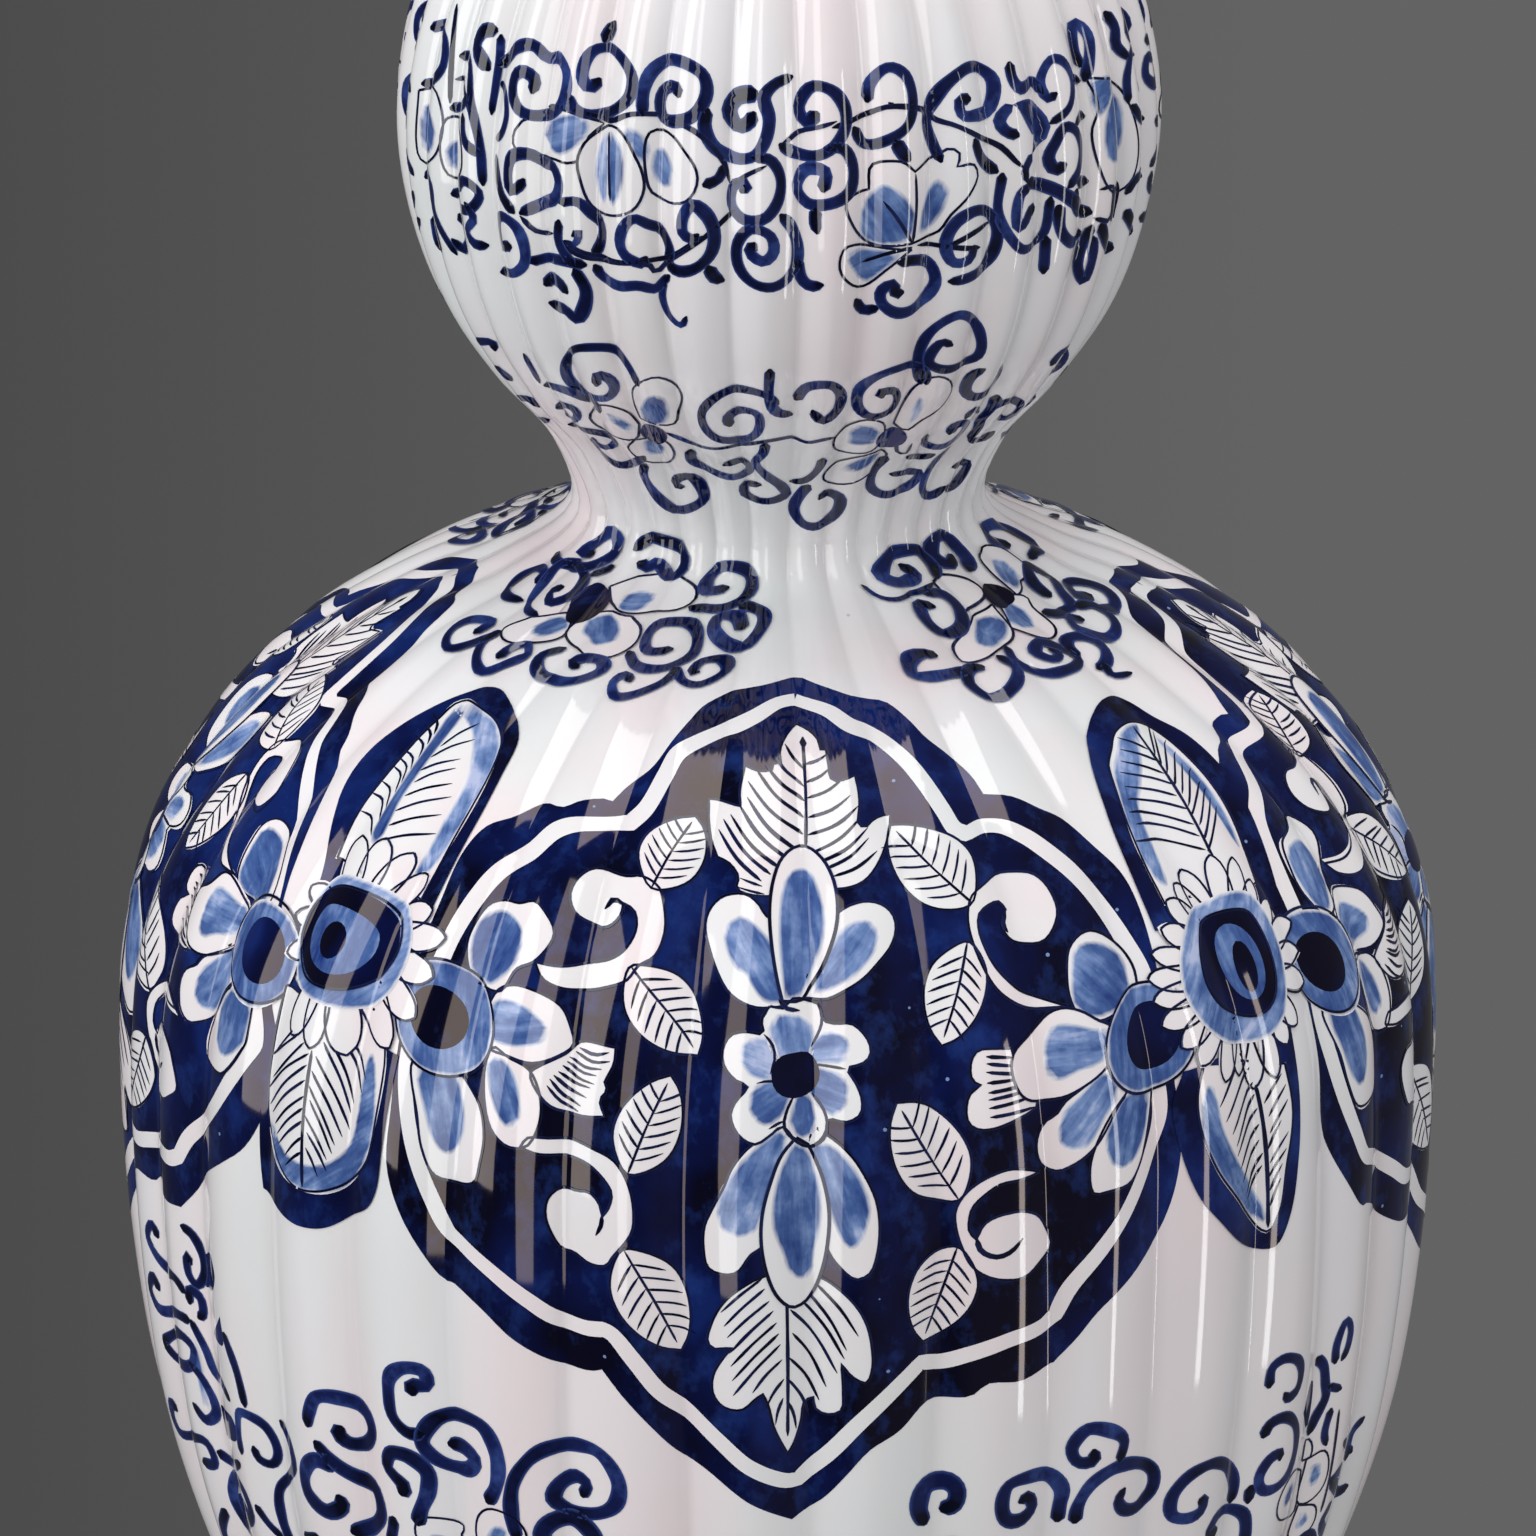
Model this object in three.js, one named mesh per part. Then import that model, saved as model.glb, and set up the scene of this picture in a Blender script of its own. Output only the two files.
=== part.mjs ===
// A ribbed double-gourd vase in tin-glazed earthenware.
// It stands on +Z, with the centre of its resting face at the origin, and its front looks along -Y.
// The clay is formed in sections that are luted together with slip before the firing:
// foot ring, lower body, shoulder, gourd bulb, neck and rolled lip.
// Every section is one closed wall, and two neighbours share one flat butt joint.
import * as THREE from "three";

// Heights in millimetres, each one the rise from the station below it
const FOOT_RING_HEIGHT = 14;
const ANKLE_RISE = 14;
const CALF_RISE = 36;
const FLANK_RISE = 38;
const UNDER_BELLY_RISE = 38;
const BELLY_RISE = 58;
const SHOULDER_CREST_RISE = 43;
const SHOULDER_EDGE_RISE = 29;
const SHOULDER_SLOPE_RISE = 19;
const COLLAR_RISE = 15;
const WAIST_RISE = 9;
const BULB_UNDERSIDE_RISE = 18;
const BULB_LOW_RISE = 20;
const BULB_RISE = 27;
const BULB_HIGH_RISE = 28;
const BULB_TOP_RISE = 23;
const NECK_ROOT_RISE = 13;
const NECK_RISE = 21;
const THROAT_RISE = 23;
const MOUTH_RISE = 21;
const LIP_HEIGHT = 8;

// Outside radii at those stations; the wall narrows from the belly, its widest place, both ways
const FOOT_TOP_RADIUS = 76;
const ANKLE_RADIUS = 74;
const CALF_RADIUS = 89.5;
const FLANK_RADIUS = 105;
const BELLY_RADIUS = 120.5;
const UNDER_BELLY_INSET = 4.5;
const SHOULDER_CREST_INSET = 4.7;
const UNDER_BELLY_RADIUS = BELLY_RADIUS - UNDER_BELLY_INSET;
const SHOULDER_CREST_RADIUS = BELLY_RADIUS - SHOULDER_CREST_INSET;
const SHOULDER_EDGE_RADIUS = 97.3;
const SHOULDER_SLOPE_RADIUS = 71;
const COLLAR_RADIUS = 41;
const WAIST_RADIUS = 35.5;
const BULB_UNDERSIDE_RADIUS = 49;
const BULB_LOW_RADIUS = 61;
const BULB_RADIUS = 66.2;
const BULB_HIGH_RADIUS = 60;
const BULB_TOP_RADIUS = 44.5;
const NECK_ROOT_RADIUS = 32;
const NECK_RADIUS = 25;
const THROAT_RADIUS = 28;
const MOUTH_RADIUS = 38;

// Ribs: convex lobes that meet in narrow grooves
const RIB_COUNT = 36;
const RIB_DEPTH_SHARE = 0.019;
const WAIST_RIB_SHARE = 0.5;
const WAIST_RIB_REACH = 26;
const RIB_FADE = 16;

// Walls
const BODY_WALL = 7;
const BULB_WALL = 6;
const NECK_WALL = 5.5;
const FLOOR_THICKNESS = 9;

// Foot ring and lip
const FOOT_REST_RADIUS = 79;
const FOOT_REST_WIDTH = 7;
const FOOT_EDGE_ROUND = 2.5;
const FOOT_INSIDE_SLOPE = 3;
const LIP_BULGE = 3;
const LIP_SWELL_HEIGHT = 3.5;

// Luting joints, measured up or down from the station they belong to
const WAIST_JOINT_BELOW_WAIST = 5;
const NECK_JOINT_ABOVE_BULB_TOP = 5;

// Fineness of the facets
const POINTS_PER_RIB = 4;
const INSIDE_POINTS = 36;
const TURNED_POINTS = 60;
const PROFILE_STEPS = 2;
const OUTLINE_SAMPLES = 900;
const BODY_ROW_STEP = 27;
const SHOULDER_ROW_STEP = 16;
const BULB_ROW_STEP = 16;
const NECK_ROW_STEP = 14;
const LINING_ROW_SHARE = 2;

const TAU = 2 * Math.PI;
const FOOT_TOP = FOOT_RING_HEIGHT;

// Stations of the outline from the foot ring up, as [radius, rise]
const STATIONS = [
  [FOOT_TOP_RADIUS, 0],
  [ANKLE_RADIUS, ANKLE_RISE],
  [CALF_RADIUS, CALF_RISE],
  [FLANK_RADIUS, FLANK_RISE],
  [UNDER_BELLY_RADIUS, UNDER_BELLY_RISE],
  [BELLY_RADIUS, BELLY_RISE],
  [SHOULDER_CREST_RADIUS, SHOULDER_CREST_RISE],
  [SHOULDER_EDGE_RADIUS, SHOULDER_EDGE_RISE],
  [SHOULDER_SLOPE_RADIUS, SHOULDER_SLOPE_RISE],
  [COLLAR_RADIUS, COLLAR_RISE],
  [WAIST_RADIUS, WAIST_RISE],
  [BULB_UNDERSIDE_RADIUS, BULB_UNDERSIDE_RISE],
  [BULB_LOW_RADIUS, BULB_LOW_RISE],
  [BULB_RADIUS, BULB_RISE],
  [BULB_HIGH_RADIUS, BULB_HIGH_RISE],
  [BULB_TOP_RADIUS, BULB_TOP_RISE],
  [NECK_ROOT_RADIUS, NECK_ROOT_RISE],
  [NECK_RADIUS, NECK_RISE],
  [THROAT_RADIUS, THROAT_RISE],
  [MOUTH_RADIUS, MOUTH_RISE],
];
const stationHeights = [];
STATIONS.reduce((height, [, rise]) => {
  stationHeights.push(height + rise);
  return height + rise;
}, FOOT_TOP);

// The height of a station, found by its place in the list
const BELLY = stationHeights[5];
const WAIST = stationHeights[10];
const BULB_TOP = stationHeights[15];
const MOUTH = stationHeights[19];
const WAIST_JOINT = WAIST - WAIST_JOINT_BELOW_WAIST;
const NECK_JOINT = BULB_TOP + NECK_JOINT_ABOVE_BULB_TOP;

// One smooth outline through the stations, as points of radius and height
const outline = new THREE.CatmullRomCurve3(
  STATIONS.map(([radius], i) => new THREE.Vector3(radius, 0, stationHeights[i])),
  false,
  "centripetal",
).getPoints(OUTLINE_SAMPLES);

// The radius at a height on a list of points that climbs
function radiusAt(points, height) {
  let low = 0;
  let high = points.length - 1;
  while (high - low > 1) {
    const between = (low + high) >> 1;
    if (points[between].z > height) high = between;
    else low = between;
  }
  const a = points[low];
  const b = points[high];
  const share = (height - a.z) / (b.z - a.z);
  return THREE.MathUtils.lerp(a.x, b.x, THREE.MathUtils.clamp(share, 0, 1));
}

const smooth = (height, from, to) => THREE.MathUtils.smoothstep(height, from, to);

// The wall grows thinner from the body through the bulb to the neck
function wallAt(height) {
  const bulbShare = smooth(height, BELLY, WAIST);
  const neckShare = smooth(height, WAIST, MOUTH);
  const upper = THREE.MathUtils.lerp(BULB_WALL, NECK_WALL, neckShare);
  return THREE.MathUtils.lerp(BODY_WALL, upper, bulbShare);
}

// The smooth inside of the wall, set in square to the outline
const lining = [];
outline.slice(1, -1).forEach((point, i) => {
  const along = outline[i + 2].clone().sub(outline[i]).normalize();
  const wall = wallAt(point.z);
  const inside = new THREE.Vector3(point.x - wall * along.z, 0, point.z + wall * along.x);
  const last = lining[lining.length - 1];
  if (!last || inside.z > last.z) lining.push(inside);
});

// Crest-to-groove depth of the ribs, which are shallow at the waist and run out at both ends
function ribDepth(height) {
  const fade = smooth(height, FOOT_TOP, FOOT_TOP + RIB_FADE) *
    (1 - smooth(height, MOUTH - RIB_FADE, MOUTH));
  const nearWaist = Math.exp(-(((height - WAIST) / WAIST_RIB_REACH) ** 2));
  const waist = THREE.MathUtils.lerp(1, WAIST_RIB_SHARE, nearWaist);
  return RIB_DEPTH_SHARE * BELLY_RADIUS * fade * waist;
}

// A rib's section: round on its crest and meeting its neighbour in a groove
function ribbedRadius(angle, height) {
  const turn = (angle * RIB_COUNT) / TAU;
  const fromCrest = 2 * Math.abs(turn - Math.floor(turn) - 0.5);
  return radiusAt(outline, height) - ribDepth(height) * fromCrest ** 2;
}

// Rings of points, one for each kind of turned or ribbed surface
function ring(count, height, radiusOf) {
  const points = [];
  for (let i = 0; i < count; i++) {
    const angle = (TAU * i) / count;
    const radius = radiusOf(angle);
    points.push([radius * Math.cos(angle), radius * Math.sin(angle), height]);
  }
  return points;
}
const ribbedRing = (height) =>
  ring(RIB_COUNT * POINTS_PER_RIB, height, (angle) => ribbedRadius(angle, height));
const liningRing = (height) => ring(INSIDE_POINTS, height, () => radiusAt(lining, height));
const middle = (height) => [[0, 0, height]];

// Heights from one level to another, evenly spaced along the slope of the outline
function levels(from, to, step) {
  const [bottom, top] = from < to ? [from, to] : [to, from];
  const path = outline.filter((point) => point.z > bottom && point.z < top);
  if (from > to) path.reverse();
  const reach = [0];
  for (let i = 1; i < path.length; i++) {
    reach.push(reach[i - 1] + path[i].distanceTo(path[i - 1]));
  }
  const total = reach[reach.length - 1];
  const rows = Math.max(2, Math.round(total / step));
  const heights = [from];
  for (let row = 1; row < rows; row++) {
    heights.push(path[reach.findIndex((length) => length >= (total * row) / rows)].z);
  }
  heights.push(to);
  return heights;
}

// Bridges a list of rings into one skin; rings may differ in their number of points
function skin(rings, closed) {
  const positions = [];
  const starts = [];
  for (const points of rings) {
    starts.push(positions.length / 3);
    for (const point of points) positions.push(...point);
  }
  const faces = [];
  const pairs = closed ? rings.length : rings.length - 1;
  for (let k = 0; k < pairs; k++) {
    const next = (k + 1) % rings.length;
    const lower = rings[k].length;
    const upper = rings[next].length;
    const at = (i) => starts[k] + (i % lower);
    const above = (j) => starts[next] + (j % upper);
    let i = 0;
    let j = 0;
    while (i < lower || j < upper) {
      if (lower > 1 && (upper === 1 || (i + 1) * upper <= (j + 1) * lower)) {
        faces.push(at(i), at(i + 1), above(j));
        i++;
        if (upper === 1 && i === lower) break;
      } else {
        faces.push(at(i), above(j + 1), above(j));
        j++;
        if (lower === 1 && j === upper) break;
      }
    }
  }
  const geometry = new THREE.BufferGeometry();
  geometry.setAttribute("position", new THREE.Float32BufferAttribute(positions, 3));
  geometry.setIndex(faces);
  geometry.computeVertexNormals();
  return geometry;
}

// A section of wall between two joints: up the ribbed outside, down the smooth inside
function wallSection(from, to, step) {
  const outside = levels(from, to, step).map(ribbedRing);
  const inside = levels(to, from, LINING_ROW_SHARE * step).map(liningRing);
  return skin([...outside, ...inside], true);
}

// The lower body closes in a flat underside and a flat floor
function lowerBody() {
  const floor = FOOT_TOP + FLOOR_THICKNESS;
  const outside = levels(FOOT_TOP, BELLY, BODY_ROW_STEP).map(ribbedRing);
  const inside = levels(BELLY, floor, LINING_ROW_SHARE * BODY_ROW_STEP).map(liningRing);
  return skin([middle(FOOT_TOP), ...outside, ...inside, middle(floor)], false);
}

// A turned piece: a closed profile of radius and height, spun round the vase's axis
function turned(profile) {
  profile.closePath();
  return new THREE.LatheGeometry(profile.getPoints(PROFILE_STEPS), TURNED_POINTS).rotateX(Math.PI / 2);
}

// The foot ring: a flat resting face between two rounded edges, and a cove up to the body
function footRing() {
  const inner = FOOT_REST_RADIUS - FOOT_REST_WIDTH;
  const round = FOOT_EDGE_ROUND;
  const quarter = Math.PI / 2;
  const profile = new THREE.Path();
  profile.moveTo(inner, 0);
  profile.lineTo(FOOT_REST_RADIUS, 0);
  profile.absarc(FOOT_REST_RADIUS, round, round, -quarter, 0, false);
  profile.quadraticCurveTo(FOOT_TOP_RADIUS, FOOT_RING_HEIGHT / 2, FOOT_TOP_RADIUS, FOOT_RING_HEIGHT);
  profile.lineTo(inner - round - FOOT_INSIDE_SLOPE, FOOT_RING_HEIGHT);
  profile.lineTo(inner - round, round);
  profile.absarc(inner, round, round, 2 * quarter, 3 * quarter, false);
  return turned(profile);
}

// The rolled lip: a coil of clay laid on the mouth, round on top and proud of the neck outside
function lip() {
  const inner = radiusAt(lining, MOUTH);
  const width = MOUTH_RADIUS + LIP_BULGE - inner;
  const centre = inner + width / 2;
  const profile = new THREE.Path();
  profile.moveTo(inner, MOUTH);
  profile.lineTo(MOUTH_RADIUS, MOUTH);
  profile.lineTo(MOUTH_RADIUS + LIP_BULGE, MOUTH + LIP_SWELL_HEIGHT);
  const crown = LIP_HEIGHT - LIP_SWELL_HEIGHT;
  profile.absellipse(centre, MOUTH + LIP_SWELL_HEIGHT, width / 2, crown, 0, Math.PI, false, 0);
  return turned(profile);
}

// Finishes: a glossy tin glaze, a little thinner and greyer towards the foot
const tinGlaze = (color) => new THREE.MeshStandardMaterial({ color, roughness: 0.12, metalness: 0 });

const vase = new THREE.Group();
function add(name, geometry, color) {
  const mesh = new THREE.Mesh(geometry, tinGlaze(color));
  mesh.name = name;
  vase.add(mesh);
}

add("foot_ring", footRing(), 0xd6d3ca);
add("lower_body", lowerBody(), 0xdedcd8);
add("shoulder", wallSection(BELLY, WAIST_JOINT, SHOULDER_ROW_STEP), 0xe0dedb);
add("bulb", wallSection(WAIST_JOINT, NECK_JOINT, BULB_ROW_STEP), 0xe1dfdc);
add("neck", wallSection(NECK_JOINT, MOUTH, NECK_ROW_STEP), 0xe0dedb);
add("lip", lip(), 0xdcdad4);

export default vase;
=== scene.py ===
# A ribbed double-gourd vase in tin-glazed earthenware, painted in cobalt blue and lit in a studio.
# Sections follow the way it is made: fired clay from the foot up, then the painting, then the studio.
# Positions on the wall are given as a meridian in degrees (0 looks along -Y, growing towards +X)
# and a distance in millimetres up the wall from the top of the foot ring.
import math
import bmesh
import bpy
import numpy as np
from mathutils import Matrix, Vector


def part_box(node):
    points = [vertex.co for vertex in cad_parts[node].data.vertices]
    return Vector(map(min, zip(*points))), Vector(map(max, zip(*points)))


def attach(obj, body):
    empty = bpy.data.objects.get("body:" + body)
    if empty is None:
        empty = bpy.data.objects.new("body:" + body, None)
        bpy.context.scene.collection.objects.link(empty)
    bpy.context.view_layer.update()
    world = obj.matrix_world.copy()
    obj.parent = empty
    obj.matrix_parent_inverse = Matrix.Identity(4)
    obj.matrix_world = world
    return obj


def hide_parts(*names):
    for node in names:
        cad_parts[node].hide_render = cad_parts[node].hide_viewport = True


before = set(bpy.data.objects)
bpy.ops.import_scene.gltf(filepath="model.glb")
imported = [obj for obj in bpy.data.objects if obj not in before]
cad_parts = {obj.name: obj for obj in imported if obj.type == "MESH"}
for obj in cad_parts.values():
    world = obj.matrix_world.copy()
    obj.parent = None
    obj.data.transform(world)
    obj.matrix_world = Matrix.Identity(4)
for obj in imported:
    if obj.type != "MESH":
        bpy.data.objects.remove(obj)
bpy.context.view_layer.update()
MM = 0.001

# Glazes
# Tin glaze is an opaque milky glass over buff clay. It runs down the wall a little in the kiln, so it
# shows faint pink and greenish streaks, and gases leave pinholes. Cobalt is painted on the raw glaze.
GLAZE_ROUGHNESS = 0.055
GLAZE_INDEX = 1.52
CLAY_ROUGHNESS = 0.85
WAVE_HEIGHT = 0.00012
PEEL_SHARE = 0.012
WHITE = (0.700, 0.690, 0.712)
PINK_CAST = (1.02, 0.905, 0.91)
GREEN_CAST = (0.93, 0.985, 0.965)
IRON_SPECK = (0.30, 0.25, 0.20)
BARE_CLAY = (0.52, 0.42, 0.29)
DEEP = (0.0002, 0.0006, 0.0085)
NAVY = (0.0008, 0.0042, 0.044)
INK = (0.0026, 0.0120, 0.090)
ROYAL = (0.0055, 0.022, 0.140)
MID_BLUE = (0.050, 0.100, 0.270)
SKY = (0.150, 0.230, 0.440)
PALE = (0.38, 0.43, 0.62)
THIN_COBALT = (0.012, 0.038, 0.19)
OUTLINE_TONE, OUTLINE_SIDE = (0.006, 0.010, 0.052), (0.016, 0.026, 0.100)
CURL_TONE, CURL_SIDE = (0.0046, 0.0100, 0.068), (0.032, 0.066, 0.25)
COBALT_GLOSS = (1.0, 0.82, 0.72, 1.0)


def link(source, target, socket):
    """Feeds one node's output into another node."""
    target.id_data.links.new(source, target.inputs[socket])


def node_maker(tree):
    """A function that makes nodes with their settings, and feeds or sets their inputs."""

    def node(kind, wires=None, **settings):
        new = tree.nodes.new(kind)
        for key, value in settings.items():
            setattr(new, key, value)
        for socket, source in (wires or {}).items():
            if isinstance(source, bpy.types.NodeSocket):
                link(source, new, socket)
            else:
                new.inputs[socket].default_value = source
        return new

    return node


def shader(name):
    """A new glossy material, its main node and its maker of nodes."""
    made = bpy.data.materials.new(name)
    made.use_nodes = True
    body = made.node_tree.nodes["Principled BSDF"]
    body.inputs["Roughness"].default_value = GLAZE_ROUGHNESS
    body.inputs["IOR"].default_value = GLAZE_INDEX
    return made, body, node_maker(made.node_tree)


def worked(node, operation, *values):
    """Sums on numbers and outputs."""
    return node("ShaderNodeMath", dict(enumerate(values)), operation=operation).outputs[0]


def mapped(node, value, start, end, low=0.0, high=1.0):
    """A value brought from one range into another, and held inside it."""
    made = node("ShaderNodeMapRange", {
        "Value": value,
        "From Min": start,
        "From Max": end,
        "To Min": low,
        "To Max": high,
    })
    return made.outputs[0]


def stored(node, name):
    """A number kept with each vertex."""
    return node("ShaderNodeAttribute", attribute_name=name).outputs["Fac"]


def noise(node, place, stretch, scale, detail=3.0, rough=0.5):
    """Noise over a place that is first stretched along each axis."""
    held = node("ShaderNodeMapping", {"Vector": place, "Scale": stretch})
    made = node("ShaderNodeTexNoise", {
        "Vector": held.outputs[0],
        "Scale": scale,
        "Detail": detail,
        "Roughness": rough,
    })
    return made.outputs["Fac"]


def ramp(node, value, stops):
    """Colours or greys between stops, each one a place and a value."""
    made = node("ShaderNodeValToRGB", {"Fac": value})
    band = made.color_ramp
    while len(band.elements) < len(stops):
        band.elements.new(0.5)
    for element, (place, colour) in zip(band.elements, stops):
        element.position = place
        level = colour if isinstance(colour, tuple) else (colour, colour, colour)
        element.color = (*level, 1)
    return made.outputs["Color"]


def blended(node, share, first, second, blend="MIX"):
    """Two colours blended by a share."""
    sources = {0: share, 6: first, 7: second}
    wires = {k: (*source, 1) if isinstance(source, tuple) else source for k, source in sources.items()}
    return node("ShaderNodeMix", wires, data_type="RGBA", blend_type=blend).outputs[2]


def dots(node, place, scale, reach, channel, share):
    """1 inside small round dots. There is one in each cell whose random number is above the share."""
    cells = node("ShaderNodeTexVoronoi", {"Vector": place, "Scale": scale, "Randomness": 1.0})
    chosen = node("ShaderNodeSeparateColor", {"Color": cells.outputs["Color"]}).outputs[channel]
    rare = worked(node, "GREATER_THAN", chosen, share)
    near = worked(node, "LESS_THAN", cells.outputs["Distance"], reach)
    return worked(node, "MULTIPLY", rare, near)


def fired(body, node, place, colour):
    """The finished glaze: its colour, and a surface in soft waves with a little orange peel."""
    link(colour, body, "Base Color")
    waves = noise(node, place, (1, 1, 0.5), 60, 1)
    peel = noise(node, place, (1, 1, 1), 420, 1)
    height = worked(node, "MULTIPLY_ADD", peel, PEEL_SHARE, waves)
    bump = node("ShaderNodeBump", {"Height": height, "Strength": 1.0, "Distance": WAVE_HEIGHT})
    link(bump.outputs[0], body, "Normal")


def tin_glaze(name):
    """Off-white glaze with kiln streaks, painted shade that darkens the grooves, and a few iron specks."""
    made, body, node = shader(name)
    place = node("ShaderNodeTexCoord").outputs["Object"]
    pink = ramp(node, noise(node, place, (1, 1, 0.16), 46, 2), [(0.40, 0.0), (0.72, 1.0)])
    green = ramp(node, noise(node, place, (1, 1, 0.22), 31, 2), [(0.45, 0.0), (0.75, 1.0)])
    cloud = ramp(node, noise(node, place, (1, 1, 0.6), 14, 3), [(0.3, 0.965), (0.7, 1.0)])
    # Painted shade: the glaze colour is multiplied by a grey that deepens into the bottom of each groove.
    grey = ramp(node, stored(node, "groove"), [(0.0, 1.0), (0.8, 0.985), (1.0, 0.93)])
    warm = blended(node, pink, WHITE, tuple(np.multiply(WHITE, PINK_CAST)))
    cool = blended(node, green, warm, tuple(np.multiply(WHITE, GREEN_CAST)))
    clouded = blended(node, 1.0, cool, cloud, "MULTIPLY")
    paint_pooling_and_groove_shade = blended(node, 1.0, clouded, grey, "MULTIPLY")
    faint = worked(node, "MULTIPLY", dots(node, place, 95, 0.034, 0, 0.93), 0.5)
    fired(body, node, place, blended(node, faint, paint_pooling_and_groove_shade, IRON_SPECK))
    return made


def painted_ground(name, depth):
    """Broad cobalt, brushed on in patches. Depth makes it lie thicker and darker."""
    made, body, node = shader(name)
    place = node("ShaderNodeTexCoord").outputs["Object"]
    brush = noise(node, place, (1, 1, 0.7), 170, 4, 0.66)
    patches = noise(node, place, (1, 1, 0.8), 58, 3, 0.5)
    drift = noise(node, place, (1, 1, 1), 15, 1)
    uneven = worked(node, "MULTIPLY_ADD", drift, 0.7, patches)
    coat = worked(node, "SUBTRACT", uneven, depth)
    broad = ramp(node, coat, [(0.68, DEEP), (0.90, NAVY), (1.0, INK)])
    thin = ramp(node, brush, [(0.50 + depth, 0.0), (0.78 + depth, 0.66)])
    mottled = blended(node, thin, broad, THIN_COBALT)
    pinholes = dots(node, place, 210, 0.07, 1, 0.8)
    body.inputs["Specular Tint"].default_value = COBALT_GLOSS
    fired(body, node, place, blended(node, pinholes, mottled, SKY))
    return made


def painted_wash():
    """Thin cobalt wash, streaked along the petal and soft where the brush left it."""
    made, body, node = shader("cobalt_wash")
    place = node("ShaderNodeTexCoord").outputs["Object"]
    along, across, shade, inside = (stored(node, name) for name in ("along", "across", "shade", "inside"))
    grain = node("ShaderNodeCombineXYZ", {"X": along, "Y": across, "Z": shade}).outputs[0]
    streak = noise(node, grain, (0.16, 1.0, 9.0), 0.62, 3, 0.55)
    pool = noise(node, place, (1, 1, 1), 105, 4, 0.62)
    mixed = worked(node, "MULTIPLY_ADD", streak, 0.62, -0.25)
    load = worked(node, "MULTIPLY_ADD", pool, 0.88, mixed)
    deeper = worked(node, "MULTIPLY_ADD", shade, 0.30, load)
    tint = ramp(node, deeper, [(0.26, PALE), (0.41, SKY), (0.58, MID_BLUE), (0.84, ROYAL)])
    ragged = worked(node, "MULTIPLY_ADD", streak, 0.8, -0.4)
    edge = mapped(node, worked(node, "ADD", inside, ragged), -0.05, 0.75)
    fired(body, node, place, blended(node, edge, WHITE, tint))
    return made


def painted_stroke(name, tone, side):
    """Brush strokes: darkest where the brush was loaded or lifted, thinner along their sides."""
    made, body, node = shader(name)
    place = node("ShaderNodeTexCoord").outputs["Object"]
    pool = noise(node, place, (1, 1, 1), 240, 3, 0.6)
    load = worked(node, "MULTIPLY_ADD", pool, 0.7, stored(node, "load"))
    colour = ramp(node, load, [(0.35, side), (0.62, tone), (1.0, DEEP)])
    aside = worked(node, "ABSOLUTE", stored(node, "across"))
    thin = mapped(node, aside, 0.62, 1.0, 0.0, 0.75)
    fired(body, node, place, blended(node, thin, colour, side))
    return made


BODY_GLAZE = tin_glaze("tin_glaze_body")
PAINTS = {
    "ground": painted_ground("cobalt_ground", 0.0),
    "white": BODY_GLAZE,
    "wash": painted_wash(),
    "core": painted_ground("cobalt_core", 0.12),
    "line": painted_stroke("cobalt_outline", OUTLINE_TONE, OUTLINE_SIDE),
    "curl": painted_stroke("cobalt_curl", CURL_TONE, CURL_SIDE),
}

# Wall shape
# One rib's crest on the modelled clay gives the outline that every section follows. The ribs are pressed
# in by hand, so each groove wanders a little and the wall swells softly between them.
WALLS = ("lower_body", "shoulder", "bulb", "neck")
FOOT_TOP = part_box("lower_body")[0].z / MM
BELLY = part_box("shoulder")[0].z / MM
WAIST_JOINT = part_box("bulb")[0].z / MM
NECK_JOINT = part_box("neck")[0].z / MM
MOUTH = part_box("lip")[0].z / MM
RIB_COUNT = 36
RIB_ANGLE = 360 / RIB_COUNT
RIB_DEPTH = 2.2
RIB_RUN_OUT = 16
WAIST = WAIST_JOINT + 5
WAIST_REACH = 26
WAIST_SHALLOWER = 0.5
GROOVE_ROUND = 0.09
GROOVE_WANDER = 0.22
WANDER_RUN = 23
WANDER_PHASE = 2.1
SKIN_INSET = 0.45
SWELL = 0.09
ANGLE_STEP = 0.625
ROW_STEP = 2.5
FLOOR_THICKNESS = 9
BODY_WALL = 7
NECK_WALL = 5.5
STEEPEST_WALL = 1.9
LINING_ROW = 6
FEWEST_LINING_ROWS = 6
FLAT_FLOOR_SHARE = 0.6
NORMAL_STEP = 0.5
NORMAL_TURN = 0.15
MERGE_DISTANCE = 0.0005
MAP_ROOM = 1.01
MAP_OUTSIDE = 0.8
MAP_LINING_FROM = 0.85
MAP_LINING_RUN = 5000


def spline(points, steps, closed=False):
    """A centripetal curve through points of any width, with steps to each span."""
    if closed:
        rim = np.vstack([points[-1], points, points[:2]])
    else:
        rim = np.vstack([2 * points[0] - points[1], points, 2 * points[-1] - points[-2]])
    share = np.linspace(0, 1, steps, endpoint=False)[:, None]
    made = []
    for a, b, c, d in zip(rim, rim[1:], rim[2:], rim[3:]):
        pairs = ((a, b), (b, c), (c, d))
        before, span, after = (max(math.dist(p[:2], q[:2]), 1e-3) ** 0.5 for p, q in pairs)
        leave = ((b - a) / before - (c - a) / (before + span) + (c - b) / span) * span
        arrive = ((c - b) / span - (d - b) / (span + after) + (d - c) / after) * span
        bend = -3 * b + 3 * c - 2 * leave - arrive
        twist = 2 * b - 2 * c + leave + arrive
        made.append(b + leave * share + bend * share ** 2 + twist * share ** 3)
    if not closed:
        made.append(points[-1][None])
    return np.vstack(made)


def lengths_along(line):
    """How far each point of a line lies from its start."""
    return np.concatenate([[0], np.cumsum(np.hypot(*np.diff(line, axis=0).T))])


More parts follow.
